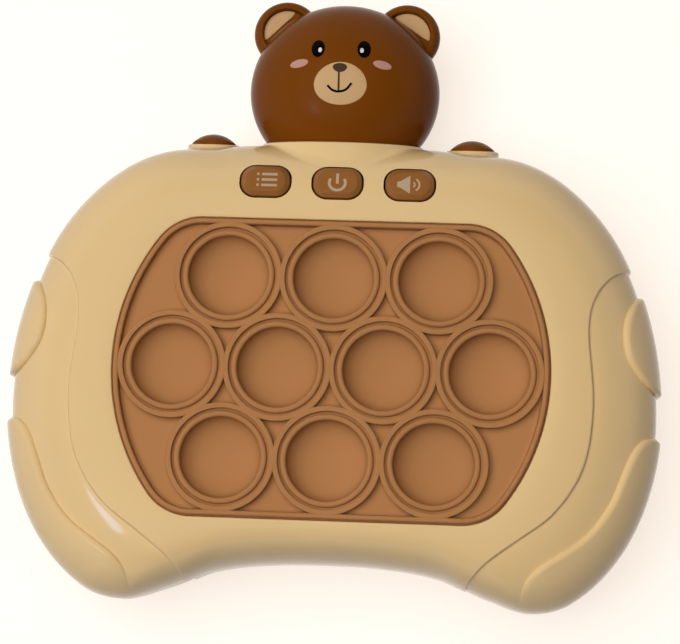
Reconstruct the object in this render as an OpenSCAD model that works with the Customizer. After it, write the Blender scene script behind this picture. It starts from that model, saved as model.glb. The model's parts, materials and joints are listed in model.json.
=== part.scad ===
// Electronic bubble pop game: a hand-held case with a bear head, ten push bubbles in a silicone pad,
// three front buttons, two shoulder buttons, and a battery box and loudspeaker in the back.
// The game lies on its back: X to the right, Y towards the head, Z out of the face.

/* [Bubbles] */
// Radius of a bubble's dish at the inner edge of its lip
dish_r = 10; // [9:0.1:11]
// Depth of a dish below its lip
dish_depth = 5; // [4.5:0.1:6]
// Thickness of a dish's wall and floor
dish_wall = 1; // [0.8:0.1:1.4]
// Radius of the corner between a dish's wall and floor
dish_fillet = 2.7; // [1:0.1:4]
// Width of the soft lip round a dish
lip_w = 1.4; // [1:0.1:2]
// Width of the groove between lip and bead
groove_w = 0.5; // [0.3:0.1:1]
// Width of the outer bead
bead_w = 1.4; // [1:0.1:2]
// How far neighbouring beads run into each other
bead_merge = 0.3; // [0.2:0.05:0.5]
// How far a bubble pushes in
bubble_travel = 2.5; // [1.5:0.1:3]

/* [Pad] */
// Thickness of the pad's web
pad_t = 2.5; // [2:0.1:3]
// Height of beads and rim above the web
bead_h = 1.5; // [1:0.1:2]
// How far a lip lies below the bead tops
lip_drop = 0.3; // [0.1:0.1:0.6]
// Width of the raised rim
rim_w = 1.8; // [1.5:0.1:3]
// How far the pad reaches past the outermost beads
pad_margin = 0.6; // [0.3:0.1:2]
// Radius of the pad's bulged sides
pad_side_r = 62; // [55:1:80]
// Radius of the pad's corners
pad_corner_r = 10; // [6:0.5:14]
// How far the bead tops stand above the face
pad_proud = 0.4; // [0:0.1:1]
// Width of the flange held under the case
flange_w = 2; // [1.5:0.1:2.3]
// Thickness of the flange
flange_t = 1.2; // [0.8:0.1:1.4]

/* [Case] */
// Window edge to the side of the case
grip_w = 29.1; // [27:0.1:34]
// Window edge to the top of the case
brow_h = 23.3; // [22:0.1:28]
// Window edge to the arch between the grips
chin_h = 10.7; // [10:0.1:16]
// How far the grips reach below the arch
horn_drop = 11.9; // [9:0.1:16]
// Parting plane to the face
front_h = 21; // [20:0.2:25]
// Back of the case to the parting plane
rear_h = 19; // [18:0.2:24]
// Wall of the case
wall = 2.2; // [1.8:0.1:2.6]
// Squareness of the rounded edges
crown = 2.4; // [2:0.1:3]
// Width of the rounded edge of the back
back_round = 14; // [11:0.5:16]
// Depth of the step where the grips begin
grip_step = 0.7; // [0.3:0.1:1]
// Height of the raised grip pads
grip_pad_h = 1.4; // [0.5:0.1:1.8]

/* [Front buttons] */
// Length of a front button
key_w = 12.2; // [10:0.2:14]
// Width of a front button
key_l = 8.2; // [7:0.2:9]
// Corner radius of a front button
key_corner = 3.6; // [2:0.1:4]
// Distance between front buttons
key_spacing = 18; // [17.5:0.1:19]
// Window edge to the row of front buttons
key_setback = 10.1; // [9.5:0.1:11]
// How far a front button stands above the case
key_proud = 1; // [0.8:0.1:1.6]
// How far a front button pushes in
key_travel = 0.8; // [0.4:0.1:1.2]

/* [Shoulder buttons] */
// Radius of a shoulder button
shoulder_r = 5.8; // [5:0.1:6.4]
// Middle of the case to a shoulder button
shoulder_x = 33.6; // [33:0.1:35]
// Height of the button's dome above its turret
shoulder_dome = 2.6; // [1.5:0.1:4]
// How far a shoulder button pushes in
shoulder_travel = 2; // [1:0.1:2.4]

/* [Head] */
// Width of the head
head_w = 49.4; // [44:0.2:56]
// Full height of the head's egg shape, before its base is cut off
head_h = 46.4; // [42:0.2:52]
// Depth of the head
head_d = 37; // [30:0.5:37.5]
// Base of the head to its widest level
head_rise = 14; // [11:0.2:17]
// Wall of the head
head_wall = 2; // [1.5:0.1:2.5]
// Radius of an ear
ear_r = 8.7; // [7:0.1:10]
// Thickness of an ear
ear_t = 7; // [5:0.2:8]
// Middle of the head to an ear's centre
ear_x = 15.7; // [14:0.1:18]
// Widest level of the head up to an ear's centre
ear_rise = 15.6; // [14:0.1:17]
// Radius of an ear's lining
lining_r = 5.7; // [4.5:0.1:6]
// Half width of the collar under the head
collar_hw = 21; // [19:0.2:23]
// Half depth of the collar towards the back
collar_hd = 14; // [13:0.2:16]
// Half depth of the collar towards the face
collar_face = 17; // [15:0.2:18]
// Fall of the collar's top away from the parting plane, in degrees
collar_tilt = 10; // [6:1:14]
// Height of the collar above the top of the case
collar_h = 1; // [0.6:0.1:2.5]
// Radius of the neck that holds the head
neck_r = 9; // [7:0.2:9.6]

/* [Inside] */
// Thickness of the circuit board
board_t = 1.6; // [1:0.1:2]
// Height of a push switch
switch_h = 4.3; // [3.5:0.1:5]
// Height of a bubble key
bubble_key_h = 4; // [3.5:0.1:5]
// Diameter of a battery cell
cell_d = 10.5; // [10:0.1:11]
// Length of a battery cell
cell_l = 44.5; // [42:0.1:46]
// Middle of the battery box, from the pad's centre
box_y = -8; // [-12:1:-4]
// Radius of the loudspeaker
speaker_r = 14; // [12:0.2:15]
// Thickness of the battery door
door_t = 1.8; // [1.5:0.1:2]
// Case edge to a case screw
screw_inset = 11.5; // [11:0.1:12.5]

/* [Clearances] */
// Gap between the pad's rim and the window
window_gap = 0.3; // [0.2:0.05:0.5]
// Gap round a piece that slides
slide_gap = 0.2; // [0.15:0.05:0.3]
// Gap between a pushed piece and its stop
seat_gap = 0.2; // [0.1:0.05:0.3]
// Gap round a fixed piece in its seat
fit_gap = 0.15; // [0.1:0.05:0.25]
// Gap between a resting plunger's travel and its switch
switch_gap = 0.1; // [0.05:0.05:0.2]
// Gap round a screw's shank in its boss
screw_gap = 0.1; // [0.05:0.05:0.15]

/* [Hidden] */
$fn = 64;
cream = "#dcbf8b";
caramel = "#b27d53";
chocolate = "#6e3d16";
cocoa = "#8c5a36";
tan_lining = "#c6a27b";
milky = "#eeeae0";
white_abs = "#e8e6e0";
board_green = "#2f6b45";
black_abs = "#26262a";
steel = "#b9bcc0";
copper = "#c48a52";
eps = 0.01;

// Bubble grid: rows of 3, 4 and 3, packed so that neighbouring beads merge
bead_r = dish_r + lip_w + groove_w + bead_w;
bubble_pitch = 2 * (bead_r - bead_merge);
row_step = bubble_pitch * sqrt(3) / 2;
bubble_spots = [
    for (row = [1, 0, -1])
        let (count = 4 - abs(row))
            for (i = [0:count - 1]) [(i - (count - 1) / 2) * bubble_pitch, row * row_step]
];
pad_hw = 1.5 * bubble_pitch + bead_r + pad_margin;
pad_hh = row_step + bead_r + pad_margin;
window_hw = pad_hw + window_gap;
window_hh = pad_hh + window_gap;

// Heights above the back of the case
part_z = rear_h;
face_z = part_z + front_h;
bead_z = face_z + pad_proud;
lip_z = bead_z - lip_drop;
web_z = bead_z - bead_h;
pad_z = web_z - pad_t;
floor_z = lip_z - dish_depth;
bubble_key_z = floor_z - dish_wall;
plunger_z = bubble_key_z - bubble_key_h;
switch_z = plunger_z - bubble_travel - switch_gap;
board_z = switch_z - switch_h;
board_under = board_z - board_t;

// Case outline, as levels and half widths from the pad's centre
case_hw = window_hw + grip_w;
case_top = window_hh + brow_h;
arch_y = -window_hh - chin_h;
horn_y = arch_y - horn_drop;
collar_y = case_top + collar_h;
head_y = collar_y + head_rise;
outline_pts = concat(
    [for (p = [[0, 0.993], [0.365, 0.987], [0.565, 0.95], [0.693, 0.862], [0.848, 0.642], [0.943, 0.367],
               [0.996, 0.033]]) [p.x * case_hw, p.y * case_top]],
    [for (p = [[0.99, 0.337], [0.898, 0.698], [0.762, 0.914], [0.625, 1]]) [p.x * case_hw, p.y * horn_y]],
    [for (p = [[0.492, 0.723], [0.34, 0.235], [0.17, 0.042], [0, 0]])
        [p.x * case_hw, arch_y - p.y * horn_drop]]
);
// Edges on the grip as [angle, share of the way from the window to the outline]
crease = [[21.5, 1], [20.3, 0.75], [17.5, 0.55], [13, 0.42], [6, 0.375], [-7, 0.405], [-20, 0.375],
          [-29, 0.33], [-36, 0.25], [-42, 0.23], [-49, 0.38], [-54.5, 0.7], [-57, 1]];
upper_pad = [[16.8, 1], [15, 0.88], [12.2, 0.76], [8.5, 0.695], [4.8, 0.695], [1.7, 0.77],
             [-0.7, 0.86], [-2, 1]];
lower_pad = [[-8.8, 1], [-10.2, 0.86], [-13, 0.775], [-17, 0.73], [-26, 0.725], [-31.5, 0.69], [-36, 0.62],
             [-41, 0.59], [-44.7, 0.63], [-47.5, 0.745], [-50.4, 1]];

// A smooth radius over falling angles through [angle, radius] points
function tilt(c, k) =
    let (lo = max(k - 1, 0), hi = min(k + 1, len(c) - 1)) (c[hi][1] - c[lo][1]) / (c[hi][0] - c[lo][0]);
function polar(c, a) =
    let (
        k = max([for (i = [0:len(c) - 2]) if (i == 0 || a <= c[i][0]) i]),
        h = c[k + 1][0] - c[k][0],
        t = (a - c[k][0]) / h
    )
    (2 * t ^ 3 - 3 * t ^ 2 + 1) * c[k][1] + (t ^ 3 - 2 * t ^ 2 + t) * h * tilt(c, k)
    + (3 * t ^ 2 - 2 * t ^ 3) * c[k + 1][1] + (t ^ 3 - t ^ 2) * h * tilt(c, k + 1);
function spans(c, a) = a <= c[0][0] && a >= c[len(c) - 1][0];

// Angles are folded onto the right half, from 90 at the top to -90 at the bottom
function fold(a) = a < -90 ? -180 - a : a;
outline_half = [for (p = outline_pts) [atan2(p.y, p.x), norm(p)]];
outline_last = len(outline_half) - 1;
outline_curve = concat(
    [[180 - outline_half[1][0], outline_half[1][1]]],
    outline_half,
    [[-180 - outline_half[outline_last - 1][0], outline_half[outline_last - 1][1]]]
);
function outline_r(f) = polar(outline_curve, f);

// The pad's barrel outline: flat top and bottom, bulged sides and round corners, grown by g all round
function ray_r(x, y, r, t) = let (b = x * cos(t) + y * sin(t)) b + sqrt(b ^ 2 - x ^ 2 - y ^ 2 + r ^ 2);
function barrel_r(g, f) =
    let (
        t = abs(f),
        side = pad_side_r + g,
        corner = pad_corner_r + g,
        sx = pad_hw - pad_side_r,
        cy = pad_hh - pad_corner_r,
        cx = sx + sqrt((side - corner) ^ 2 - cy ^ 2),
        reach = side / (side - corner)
    )
    t >= atan2(pad_hh + g, cx) ? (pad_hh + g) / sin(t)
    : t > atan2(reach * cy, sx + reach * (cx - sx)) ? ray_r(cx, cy, corner, t)
    : ray_r(sx, 0, side, t);
function window_r(f) = barrel_r(window_gap, f);

// Angles round the case: stops as [angle, step after it, half gap], with a close pair of angles at each
// end of a grip edge and short steps where the edges turn
edge_a = 0.25;
function top_of(c) = c[0][0];
function end_of(c) = c[len(c) - 1][0];
stops = [[90, 6, 0], [top_of(crease), 0.9, edge_a], [top_of(upper_pad), 1.2, edge_a], [12, 2.6, 0],
         [1.7, 0.9, 0], [end_of(upper_pad), 2.3, edge_a], [top_of(lower_pad), 1, edge_a], [-13, 3.5, 0],
         [-41, 1.3, 0], [end_of(lower_pad), 1.1, edge_a], [end_of(crease), 5.5, edge_a], [-90, 0, 0]];
function run_of(a, b, step) = let (n = ceil((a - b) / step)) [for (i = [0:n - 1]) a + (b - a) * i / n];
half_angles = concat(
    [
        for (i = [0:len(stops) - 2])
            let (next = stops[i + 1])
                each concat(
                    run_of(stops[i][0] - stops[i][2], next[0] + next[2], stops[i][1]),
                    next[2] > 0 ? [next[0] + next[2]] : []
                )
    ],
    [-90]
);
half_last = len(half_angles) - 1;
angles = concat(half_angles, [for (i = [half_last - 1:-1:1]) -180 - half_angles[i]]);
turns = len(angles);

// Crown of the front: shares of the run outwards and of the height, at phi from 0 at the window to 90
function crown_at(phi) = [sin(phi) ^ (2 / crown), cos(min(phi, 90)) ^ (2 / crown)];
function crown_phi(share) = asin(share ^ (crown / 2));
// A point on the front, lifted by d along the crown's own normal, with the walls drawn in by inset
function front_point(a, phi, d, inset) =
    let (
        c = crown_at(phi),
        w = window_r(fold(a)),
        run = outline_r(fold(a)) - w - inset,
        rise = front_h - inset,
        g = [c[0] ^ (crown - 1) / run, c[1] ^ (crown - 1) / rise],
        n = g / norm(g),
        r = w + run * c[0] + d * n[0]
    )
    [r * cos(a), r * sin(a), part_z + rise * c[1] + d * n[1]];
// Rows of one radial line of the front as [phi, lift]: level up to the crease, sunk behind it,
// raised again on the grip pads
edge_phi = 2;
crease_most = 90 - 5 * edge_phi;
pad_most = 90 - 2.5 * edge_phi;
function lift_of(f) = [
    spans(crease, f) ? -grip_step : 0,
    spans(upper_pad, f) || spans(lower_pad, f) ? grip_pad_h : 0
];
function front_rows(f) =
    let (
        pad = spans(upper_pad, f) ? polar(upper_pad, f) : spans(lower_pad, f) ? polar(lower_pad, f) : 1,
        c = min(spans(crease, f) ? crown_phi(min(polar(crease, f), 1)) : crease_most, crease_most),
        p = min(max(crown_phi(min(pad, 1)), c + 2 * edge_phi), pad_most),
        sunk = lift_of(f)[0],
        raised = sunk + lift_of(f)[1]
    )
    concat(
        [for (k = [0:4]) [c * k / 4, 0]],
        [for (k = [0:2]) [c + edge_phi + (p - c - edge_phi) * k / 2, sunk]],
        [for (k = [0:3]) [p + edge_phi + (90 - p - edge_phi) * k / 3, raised]]
    );
inner_phis = [90, 70, 50, 30, 12, 0];

// Triangles over rings of n points that run clockwise, each four cut along the shorter diagonal;
// loop joins the last ring to the first
function grid_faces(points, rings, n, loop) = [
    for (j = [0:rings - (loop ? 1 : 2)], i = [0:n - 1])
        let (
            a = j * n + i,
            b = j * n + (i + 1) % n,
            c = (j + 1) % rings * n + i,
            d = (j + 1) % rings * n + (i + 1) % n
        )
        each norm(points[a] - points[d]) < norm(points[b] - points[c])
            ? [[a, d, b], [a, c, d]]
            : [[a, c, b], [b, c, d]]
];
function fan(hub, first, n, up) = [
    for (i = [0:n - 1])
        let (a = first + i, b = first + (i + 1) % n) up ? [hub, a, b] : [hub, b, a]
];

// The front's moulded skin, round the window and down to the parting plane
module front_skin() {
    rows = [for (a = angles) front_rows(fold(a))];
    row_count = len(rows[0]);
    outer = [for (j = [0:row_count - 1], i = [0:turns - 1])
        front_point(angles[i], rows[i][j][0], rows[i][j][1], 0)];
    inner = [for (phi = inner_phis, a = angles) front_point(a, phi, 0, wall)];
    points = concat(outer, inner);
    polyhedron(points, grid_faces(points, row_count + len(inner_phis), turns, true));
}

// Everything under the middle of the front's wall, to trim what stands on its inside
module front_core() {
    last = len(inner_phis) - 1;
    rows = [for (k = [last:-1:0], a = angles) front_point(a, inner_phis[k], 0, wall / 2)];
    hubs = [[0, 0, part_z], [0, 0, face_z - wall / 2]];
    hub = (last + 1) * turns;
    polyhedron(
        concat(rows, hubs),
        concat(
            grid_faces(rows, last + 1, turns, false),
            fan(hub, last * turns, turns, false),
            fan(hub + 1, 0, turns, true)
        )
    );
}

// The back's moulded bowl: a flat middle and a rounded edge that carries on the front's outline
function rear_point(a, phi, inset) =
    let (
        f = fold(a),
        c = crown_at(phi),
        edge = (lift_of(f)[0] + lift_of(f)[1]) * (inset > 0 ? 0 : 1),
        r = outline_r(f) - back_round + (back_round - inset + edge) * c[0]
    )
    [r * cos(a), r * sin(a), part_z - (rear_h - inset) * c[1]];
module rear_skin() {
    phis = [0, 20, 40, 58, 74, 90];
    rows = concat(
        [for (phi = phis, a = angles) rear_point(a, phi, 0)],
        [for (k = [len(phis) - 1:-1:0], a = angles) rear_point(a, phis[k], wall)]
    );
    rings = 2 * len(phis);
    hubs = [[0, 0, 0], [0, 0, wall]];
    polyhedron(
        concat(rows, hubs),
        concat(
            [for (t = grid_faces(rows, rings, turns, false)) [t[0], t[2], t[1]]],
            fan(rings * turns, 0, turns, false),
            fan(rings * turns + 1, (rings - 1) * turns, turns, true)
        )
    );
}

// Flat outlines
module barrel(g)
    polygon([for (i = [0:119]) barrel_r(g, fold(90 - 3 * i)) * [cos(90 - 3 * i), sin(90 - 3 * i)]]);
module ellipse(hx, hy) polygon([for (i = [0:71]) [hx * cos(5 * i), hy * sin(5 * i)]]);
module round_rect(w, l, r) {
    square([w - 2 * r, l], center = true);
    square([w, l - 2 * r], center = true);
    for (x = [-1, 1], y = [-1, 1]) translate([x * (w / 2 - r), y * (l / 2 - r)]) circle(r);
}
// A flat outline drawn as X and Z, pushed along Y from y0 to y1
module along_y(y0, y1) translate([0, y1, 0]) rotate([90, 0, 0]) linear_extrude(y1 - y0) children();
module at(spots) for (p = spots) translate(p) children();
far = 2 * case_hw;
module front_half() intersection() {
    children();
    translate([-far, -far, part_z]) cube([2 * far, 2 * far, far]);
}

// Neck and shoulder fittings, shared by both halves of the case
neck_flange_r = neck_r + 2.5;
neck_l = 5.7;
neck_seat_y = collar_y - neck_l;
neck_flange_t = 2;
turret_wall = 1.6;
turret_h = 0.5;
turret_l = 4.3;
turret_r = shoulder_r + slide_gap + turret_wall;
turret_y = case_top + turret_h;
turret_seat_y = turret_y - turret_l;
shoulder_flange_r = shoulder_r + 1.4;
shoulder_flange_t = 1.6;
shoulder_flange_y = turret_seat_y - seat_gap - shoulder_flange_t;
shoulder_spots = [[-shoulder_x, 0, part_z], [shoulder_x, 0, part_z]];
collar_foot_l = 5;
collar_foot_tilt = -36;
// The space over the collar's top, which falls away to the front; turned over it serves the back
module over_collar(rise) translate([0, collar_y + rise, part_z]) rotate([collar_tilt, 0, 0])
    translate([-far, 0, -far]) cube([2 * far, far, 2 * far]);
module half_fittings(depth) front_half() {
    difference() {
        translate([0, 0, part_z]) along_y(neck_seat_y, collar_y) ellipse(collar_hw, depth);
        over_collar(0);
    }
    at(shoulder_spots) along_y(turret_seat_y, turret_y) circle(turret_r);
}
// The collar carried on down the face, over a plane within the wall
module collar_foot() intersection() {
    translate([0, 0, part_z]) along_y(neck_seat_y - collar_foot_l, neck_seat_y + eps)
        ellipse(collar_hw, collar_face);
    translate([0, neck_seat_y, part_z + 0.6 * front_h]) rotate([collar_foot_tilt, 0, 0])
        translate([-far, -far, 0]) cube([2 * far, 2 * far, far]);
}
module turned_over() translate([0, 0, part_z]) mirror([0, 0, 1]) translate([0, 0, -part_z]) children();
module top_bores() {
    translate([0, 0, part_z]) {
        along_y(neck_seat_y - 5, collar_y + 1) circle(neck_r + fit_gap);
        along_y(neck_seat_y - 5, neck_seat_y) circle(neck_flange_r + fit_gap);
    }
    at(shoulder_spots) {
        along_y(turret_seat_y - 6, turret_y + 1) circle(shoulder_r + slide_gap);
        along_y(turret_seat_y - 6, turret_seat_y) circle(shoulder_flange_r + slide_gap);
    }
}

// Case screws run from wells in the back up into bosses on the front
case_screw_r = 1.2;
case_head_r = 2.6;
case_head_h = 1.8;
case_boss_r = 3.3;
case_well_z = rear_h / 2 - 1;
case_shelf_t = 4.5;
case_thread_l = 8;
case_well_wall = 1.2;
case_head_gap = 0.4;
case_boss_z = case_well_z + case_shelf_t;
case_screw_tip = part_z + case_thread_l;
case_spots = [
    for (a = [41, 3, -38], side = [-1, 1]) (outline_r(a) - screw_inset) * [side * cos(a), sin(a)]
];

// The clamp plate hangs under the front on short bosses round the window
plate_t = 2;
skirt_h = 4;
skirt_t = 1.6;
tab_t = 2;
clamp_boss_r = 2.4;
clamp_screw_r = 0.85;
clamp_head_r = 1.9;
clamp_head_h = 1.4;
clamp_off = 5;
clamp_x = 1.3 * bubble_pitch;
tab_w = 4.4;
plate_z = pad_z - plate_t;
skirt_z = plate_z - skirt_h;
tab_z = skirt_z + tab_t;
clamp_tip = face_z - wall - 0.6;
clamp_spots = [
    for (side = [-1, 1])
        each [
            [side * clamp_x, window_hh + clamp_off],
            [side * (window_hw + clamp_off), 0],
            [side * clamp_x, -window_hh - clamp_off]
        ]
];

// Front buttons hang in wells under the front
key_spots = [for (i = [-1:1]) [i * key_spacing, window_hh + key_setback]];
well_wall = 1.5;
key_flange = 1.1;
key_flange_t = 1.4;
key_crown = crown_at(crown_phi(key_setback / brow_h));
key_tilt = -atan((key_crown[0] / key_crown[1]) ^ (crown - 1) * front_h / brow_h);
key_mid_z = part_z + front_h * key_crown[1];
key_top_z = key_mid_z + key_proud;
well_z = part_z + 0.65 * front_h;
key_flange_z = well_z - seat_gap - key_flange_t;
key_switch_z = board_z + switch_h;
key_plunger_z = key_switch_z + key_travel + switch_gap;

module front_shell() color(cream) difference() {
    union() {
        front_skin();
        half_fittings(collar_face);
        collar_foot();
        intersection() {
            union() {
                at(case_spots) translate([0, 0, case_boss_z])
                    cylinder(r = case_boss_r, h = face_z - case_boss_z);
                at(clamp_spots) translate([0, 0, tab_z]) cylinder(r = clamp_boss_r, h = face_z - tab_z);
                at(key_spots) translate([0, 0, well_z])
                    linear_extrude(face_z - well_z)
                        round_rect(key_w + 2 * well_wall, key_l + 2 * well_wall, key_corner + well_wall);
            }
            front_core();
        }
    }
    top_bores();
    at(key_spots) translate([0, 0, well_z - 1])
        linear_extrude(front_h)
            round_rect(key_w + 2 * slide_gap, key_l + 2 * slide_gap, key_corner + slide_gap);
    at(case_spots) translate([0, 0, case_boss_z - 1])
        cylinder(r = case_screw_r, h = case_screw_tip + 1 - case_boss_z);
    at(clamp_spots) translate([0, 0, tab_z - 1]) cylinder(r = clamp_screw_r, h = clamp_tip + 1 - tab_z);
}

// The back holds the battery box, the speaker seat, the screw wells and a lip that locates the front
box_wall = 1.5;
contact_room = 2.2;
cell_pitch = cell_d + 0.4;
cell_count = 3;
box_hx = cell_l / 2 + contact_room;
box_hy = cell_pitch * cell_count / 2 + 0.2;
door_set = 0.4;
door_z = door_set + door_t;
ledge_t = 1.4;
box_top = door_z + cell_d + 0.4;
cell_z = door_z + 0.2 + cell_d / 2;
door_screw_x = box_hx + box_wall + 3.4;
door_boss_r = 3;
door_hx = door_screw_x + door_boss_r + 1;
door_hy = box_hy + 2.5;
door_corner = 4;
door_rim = 1.6;
door_spots = [[-door_screw_x, box_y], [door_screw_x, box_y]];
door_screw_r = 1.1;
door_screw_l = 8;
door_head_r = 2.3;
door_head_h = 1.3;
speaker_y = box_y + door_hy + speaker_r + 2.5;
speaker_seat_z = wall + 0.8;
grille_r = 1;
grille_pitch = 3.4;
grille_rings = 3;
seat_ledge = 2.4;
seat_rim_t = 1.4;
seat_rim_h = 3;
lip_gap = 0.25;
lip_t = 1.2;
lip_h = 1.5;
lip_root = 0.8;
lip_base = 2.5;
lip_from = 46;

module lip_band(out, in, z, h) {
    side = [for (a = half_angles) if (a < lip_from) a];
    sweep = concat(side, [for (i = [len(side) - 2:-1:0]) -180 - side[i]]);
    translate([0, 0, z]) linear_extrude(h) polygon(concat(
        [for (a = sweep) (outline_r(fold(a)) - out) * [cos(a), sin(a)]],
        [for (i = [len(sweep) - 1:-1:0]) let (a = sweep[i]) (outline_r(fold(a)) - in) * [cos(a), sin(a)]]
    ));
}
module rear_shell() color(cream) difference() {
    union() {
        rear_skin();
        turned_over() half_fittings(collar_hd);
        lip_band(wall - lip_root, wall + lip_gap + lip_t + lip_root,
                 part_z - lip_base, lip_base - lip_root / 2);
        lip_band(wall + lip_gap, wall + lip_gap + lip_t, part_z - lip_base / 2, lip_base / 2 + lip_h);
        at(case_spots) translate([0, 0, wall])
            cylinder(r = case_boss_r + case_well_wall, h = case_boss_z - wall);
        translate([0, box_y, wall / 2]) {
            linear_extrude(door_z + ledge_t - wall / 2)
                round_rect(2 * (door_hx + door_rim), 2 * (door_hy + door_rim), door_corner + door_rim);
            linear_extrude(box_top + box_wall - wall / 2)
                square(2 * [box_hx + box_wall, box_hy + box_wall], center = true);
        }
        at(door_spots) translate([0, 0, wall])
            cylinder(r = door_boss_r, h = door_set + door_screw_l + 1.2 - wall);
        translate([0, speaker_y, wall / 2]) {
            cylinder(r = speaker_r - 1, h = speaker_seat_z - wall / 2);
            difference() {
                cylinder(r = speaker_r + fit_gap + seat_rim_t, h = speaker_seat_z + seat_rim_h - wall / 2);
                cylinder(r = speaker_r + fit_gap, h = 20);
            }
        }
    }
    top_bores();
    at(case_spots) {
        translate([0, 0, -1]) cylinder(r = case_head_r + case_head_gap, h = case_well_z + 1);
        cylinder(r = case_screw_r + fit_gap, h = part_z);
    }
    translate([0, box_y, -1]) {
        linear_extrude(door_z + 1) round_rect(2 * door_hx, 2 * door_hy, door_corner);
        linear_extrude(box_top + 1) square(2 * [box_hx, box_hy], center = true);
    }
    at(door_spots) cylinder(r = door_screw_r, h = door_set + door_screw_l + seat_gap);
    at(tag_spots) translate([0, 0, box_top])
        cube([contact_t + 0.4, tag_w + 0.6, 4 * box_wall], center = true);
    translate([0, speaker_y, -1]) {
        translate([0, 0, wall + 1]) cylinder(r = speaker_r - seat_ledge, h = 5);
        for (i = [-grille_rings:grille_rings], j = [-grille_rings:grille_rings])
            if (abs(i + j) <= grille_rings)
                translate(grille_pitch * [i + j / 2, j * sqrt(3) / 2]) cylinder(r = grille_r, h = 6);
    }
}

// Silicone pad: web, rim, flange, and a bead and a lip round each bubble's hole
bead_edge = 0.35;
bead_root = 0.5;
module ring(r_in, r_out, z0, z1) rotate_extrude() polygon([
    [r_in, z0], [r_out, z0], [r_out, z1 - bead_edge], [r_out - bead_edge, z1],
    [r_in + bead_edge, z1], [r_in, z1 - bead_edge]
]);
module bubble_pad() color(caramel) difference() {
    union() {
        translate([0, 0, pad_z]) {
            linear_extrude(flange_t) barrel(window_gap + flange_w);
            linear_extrude(pad_t) barrel(0);
        }
        translate([0, 0, web_z - eps]) linear_extrude(bead_h + eps) difference() {
            barrel(0);
            barrel(-rim_w);
        }
        at(bubble_spots) {
            ring(bead_r - bead_w, bead_r, web_z - bead_root, bead_z);
            ring(dish_r, dish_r + lip_w, web_z - bead_root, lip_z);
        }
    }
    at(bubble_spots) translate([0, 0, pad_z - 1]) cylinder(r = dish_r, h = pad_t + bead_h + 2);
    at(bubble_spots) difference() {
        translate([0, 0, web_z - eps]) cylinder(r = bead_r - bead_w, h = 2 * bead_h);
        translate([0, 0, web_z - 1]) cylinder(r = dish_r + lip_w, h = 4 * bead_h);
    }
}

// One bubble: a dish with a round corner and a stub that plugs into its key
dish_out = dish_r - slide_gap;
dish_chamfer = 0.8;
dish_drop = 0.2;
stub_r = 1.9;
stub_h = 1;
module bubble(p) color(caramel) translate(p) {
    inner = dish_out - dish_wall;
    edge_z = dish_wall + dish_depth - dish_drop;
    translate([0, 0, bubble_key_z]) rotate_extrude() polygon(concat(
        [[0, 0], [dish_out - dish_chamfer, 0], [dish_out, dish_chamfer], [dish_out, edge_z], [inner, edge_z]],
        [for (i = [0:6])
            [inner - dish_fillet * (1 - cos(15 * i)), dish_wall + dish_fillet * (1 - sin(15 * i))]],
        [[0, dish_wall]]
    ));
    translate([0, 0, bubble_key_z - stub_h]) cylinder(r = stub_r, h = stub_h + eps);
}
// One key: a skirted disc that slides in its sleeve, with a plunger over the switch
sleeve_r = dish_r + 0.4;
bubble_key_r = sleeve_r - slide_gap;
plunger_r = 2;
key_disc_t = 1.6;
key_skirt_h = 3;
key_skirt_t = 1;
module bubble_key(p) color(milky) translate([p.x, p.y, plunger_z]) difference() {
    union() {
        translate([0, 0, bubble_key_h - key_skirt_h]) difference() {
            cylinder(r = bubble_key_r, h = key_skirt_h);
            translate([0, 0, -key_disc_t]) cylinder(r = bubble_key_r - key_skirt_t, h = key_skirt_h);
        }
        cylinder(r = plunger_r, h = bubble_key_h - eps);
    }
    translate([0, 0, bubble_key_h - stub_h - fit_gap]) cylinder(r = stub_r + fit_gap, h = stub_h + 1);
}

// Clamp plate: holds the pad up in the window, guides the keys and carries the circuit board
sleeve_wall = 1.4;
board_post_r = 2.7;
board_spots = [for (x = [-1, 1], y = [-1, 1]) [x * bubble_pitch, y * row_step / 3]];
board_screw_r = 0.85;
board_screw_l = 6;
module clamp_plate() color(white_abs) difference() {
    union() {
        translate([0, 0, plate_z]) linear_extrude(plate_t) barrel(window_gap + flange_w);
        translate([0, 0, skirt_z]) {
            linear_extrude(skirt_h + eps) difference() {
                barrel(window_gap + flange_w);
                barrel(window_gap + flange_w - skirt_t);
            }
            at(bubble_spots) cylinder(r = sleeve_r + sleeve_wall, h = skirt_h + eps);
        }
        at(clamp_spots) translate([0, 0, skirt_z]) cylinder(r = clamp_head_r + 1, h = tab_t);
        for (p = clamp_spots) translate([p.x, p.y, skirt_z]) {
            inward = p.y == 0 ? [-sign(p.x), 0] : [0, -sign(p.y)];
            translate(inward * clamp_off / 2) translate([0, 0, tab_t / 2])
                cube([inward.x == 0 ? tab_w : clamp_off, inward.y == 0 ? tab_w : clamp_off, tab_t],
                     center = true);
        }
        at(board_spots) translate([0, 0, board_z]) cylinder(r = board_post_r, h = plate_z + 1 - board_z);
    }
    at(bubble_spots) translate([0, 0, skirt_z - 1]) cylinder(r = sleeve_r, h = skirt_h + plate_t + 2);
    at(clamp_spots) translate([0, 0, skirt_z - 1]) cylinder(r = clamp_screw_r + fit_gap, h = tab_t + 2);
    at(board_spots) translate([0, 0, board_z - 1]) cylinder(r = board_screw_r, h = board_screw_l + 1);
}

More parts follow.
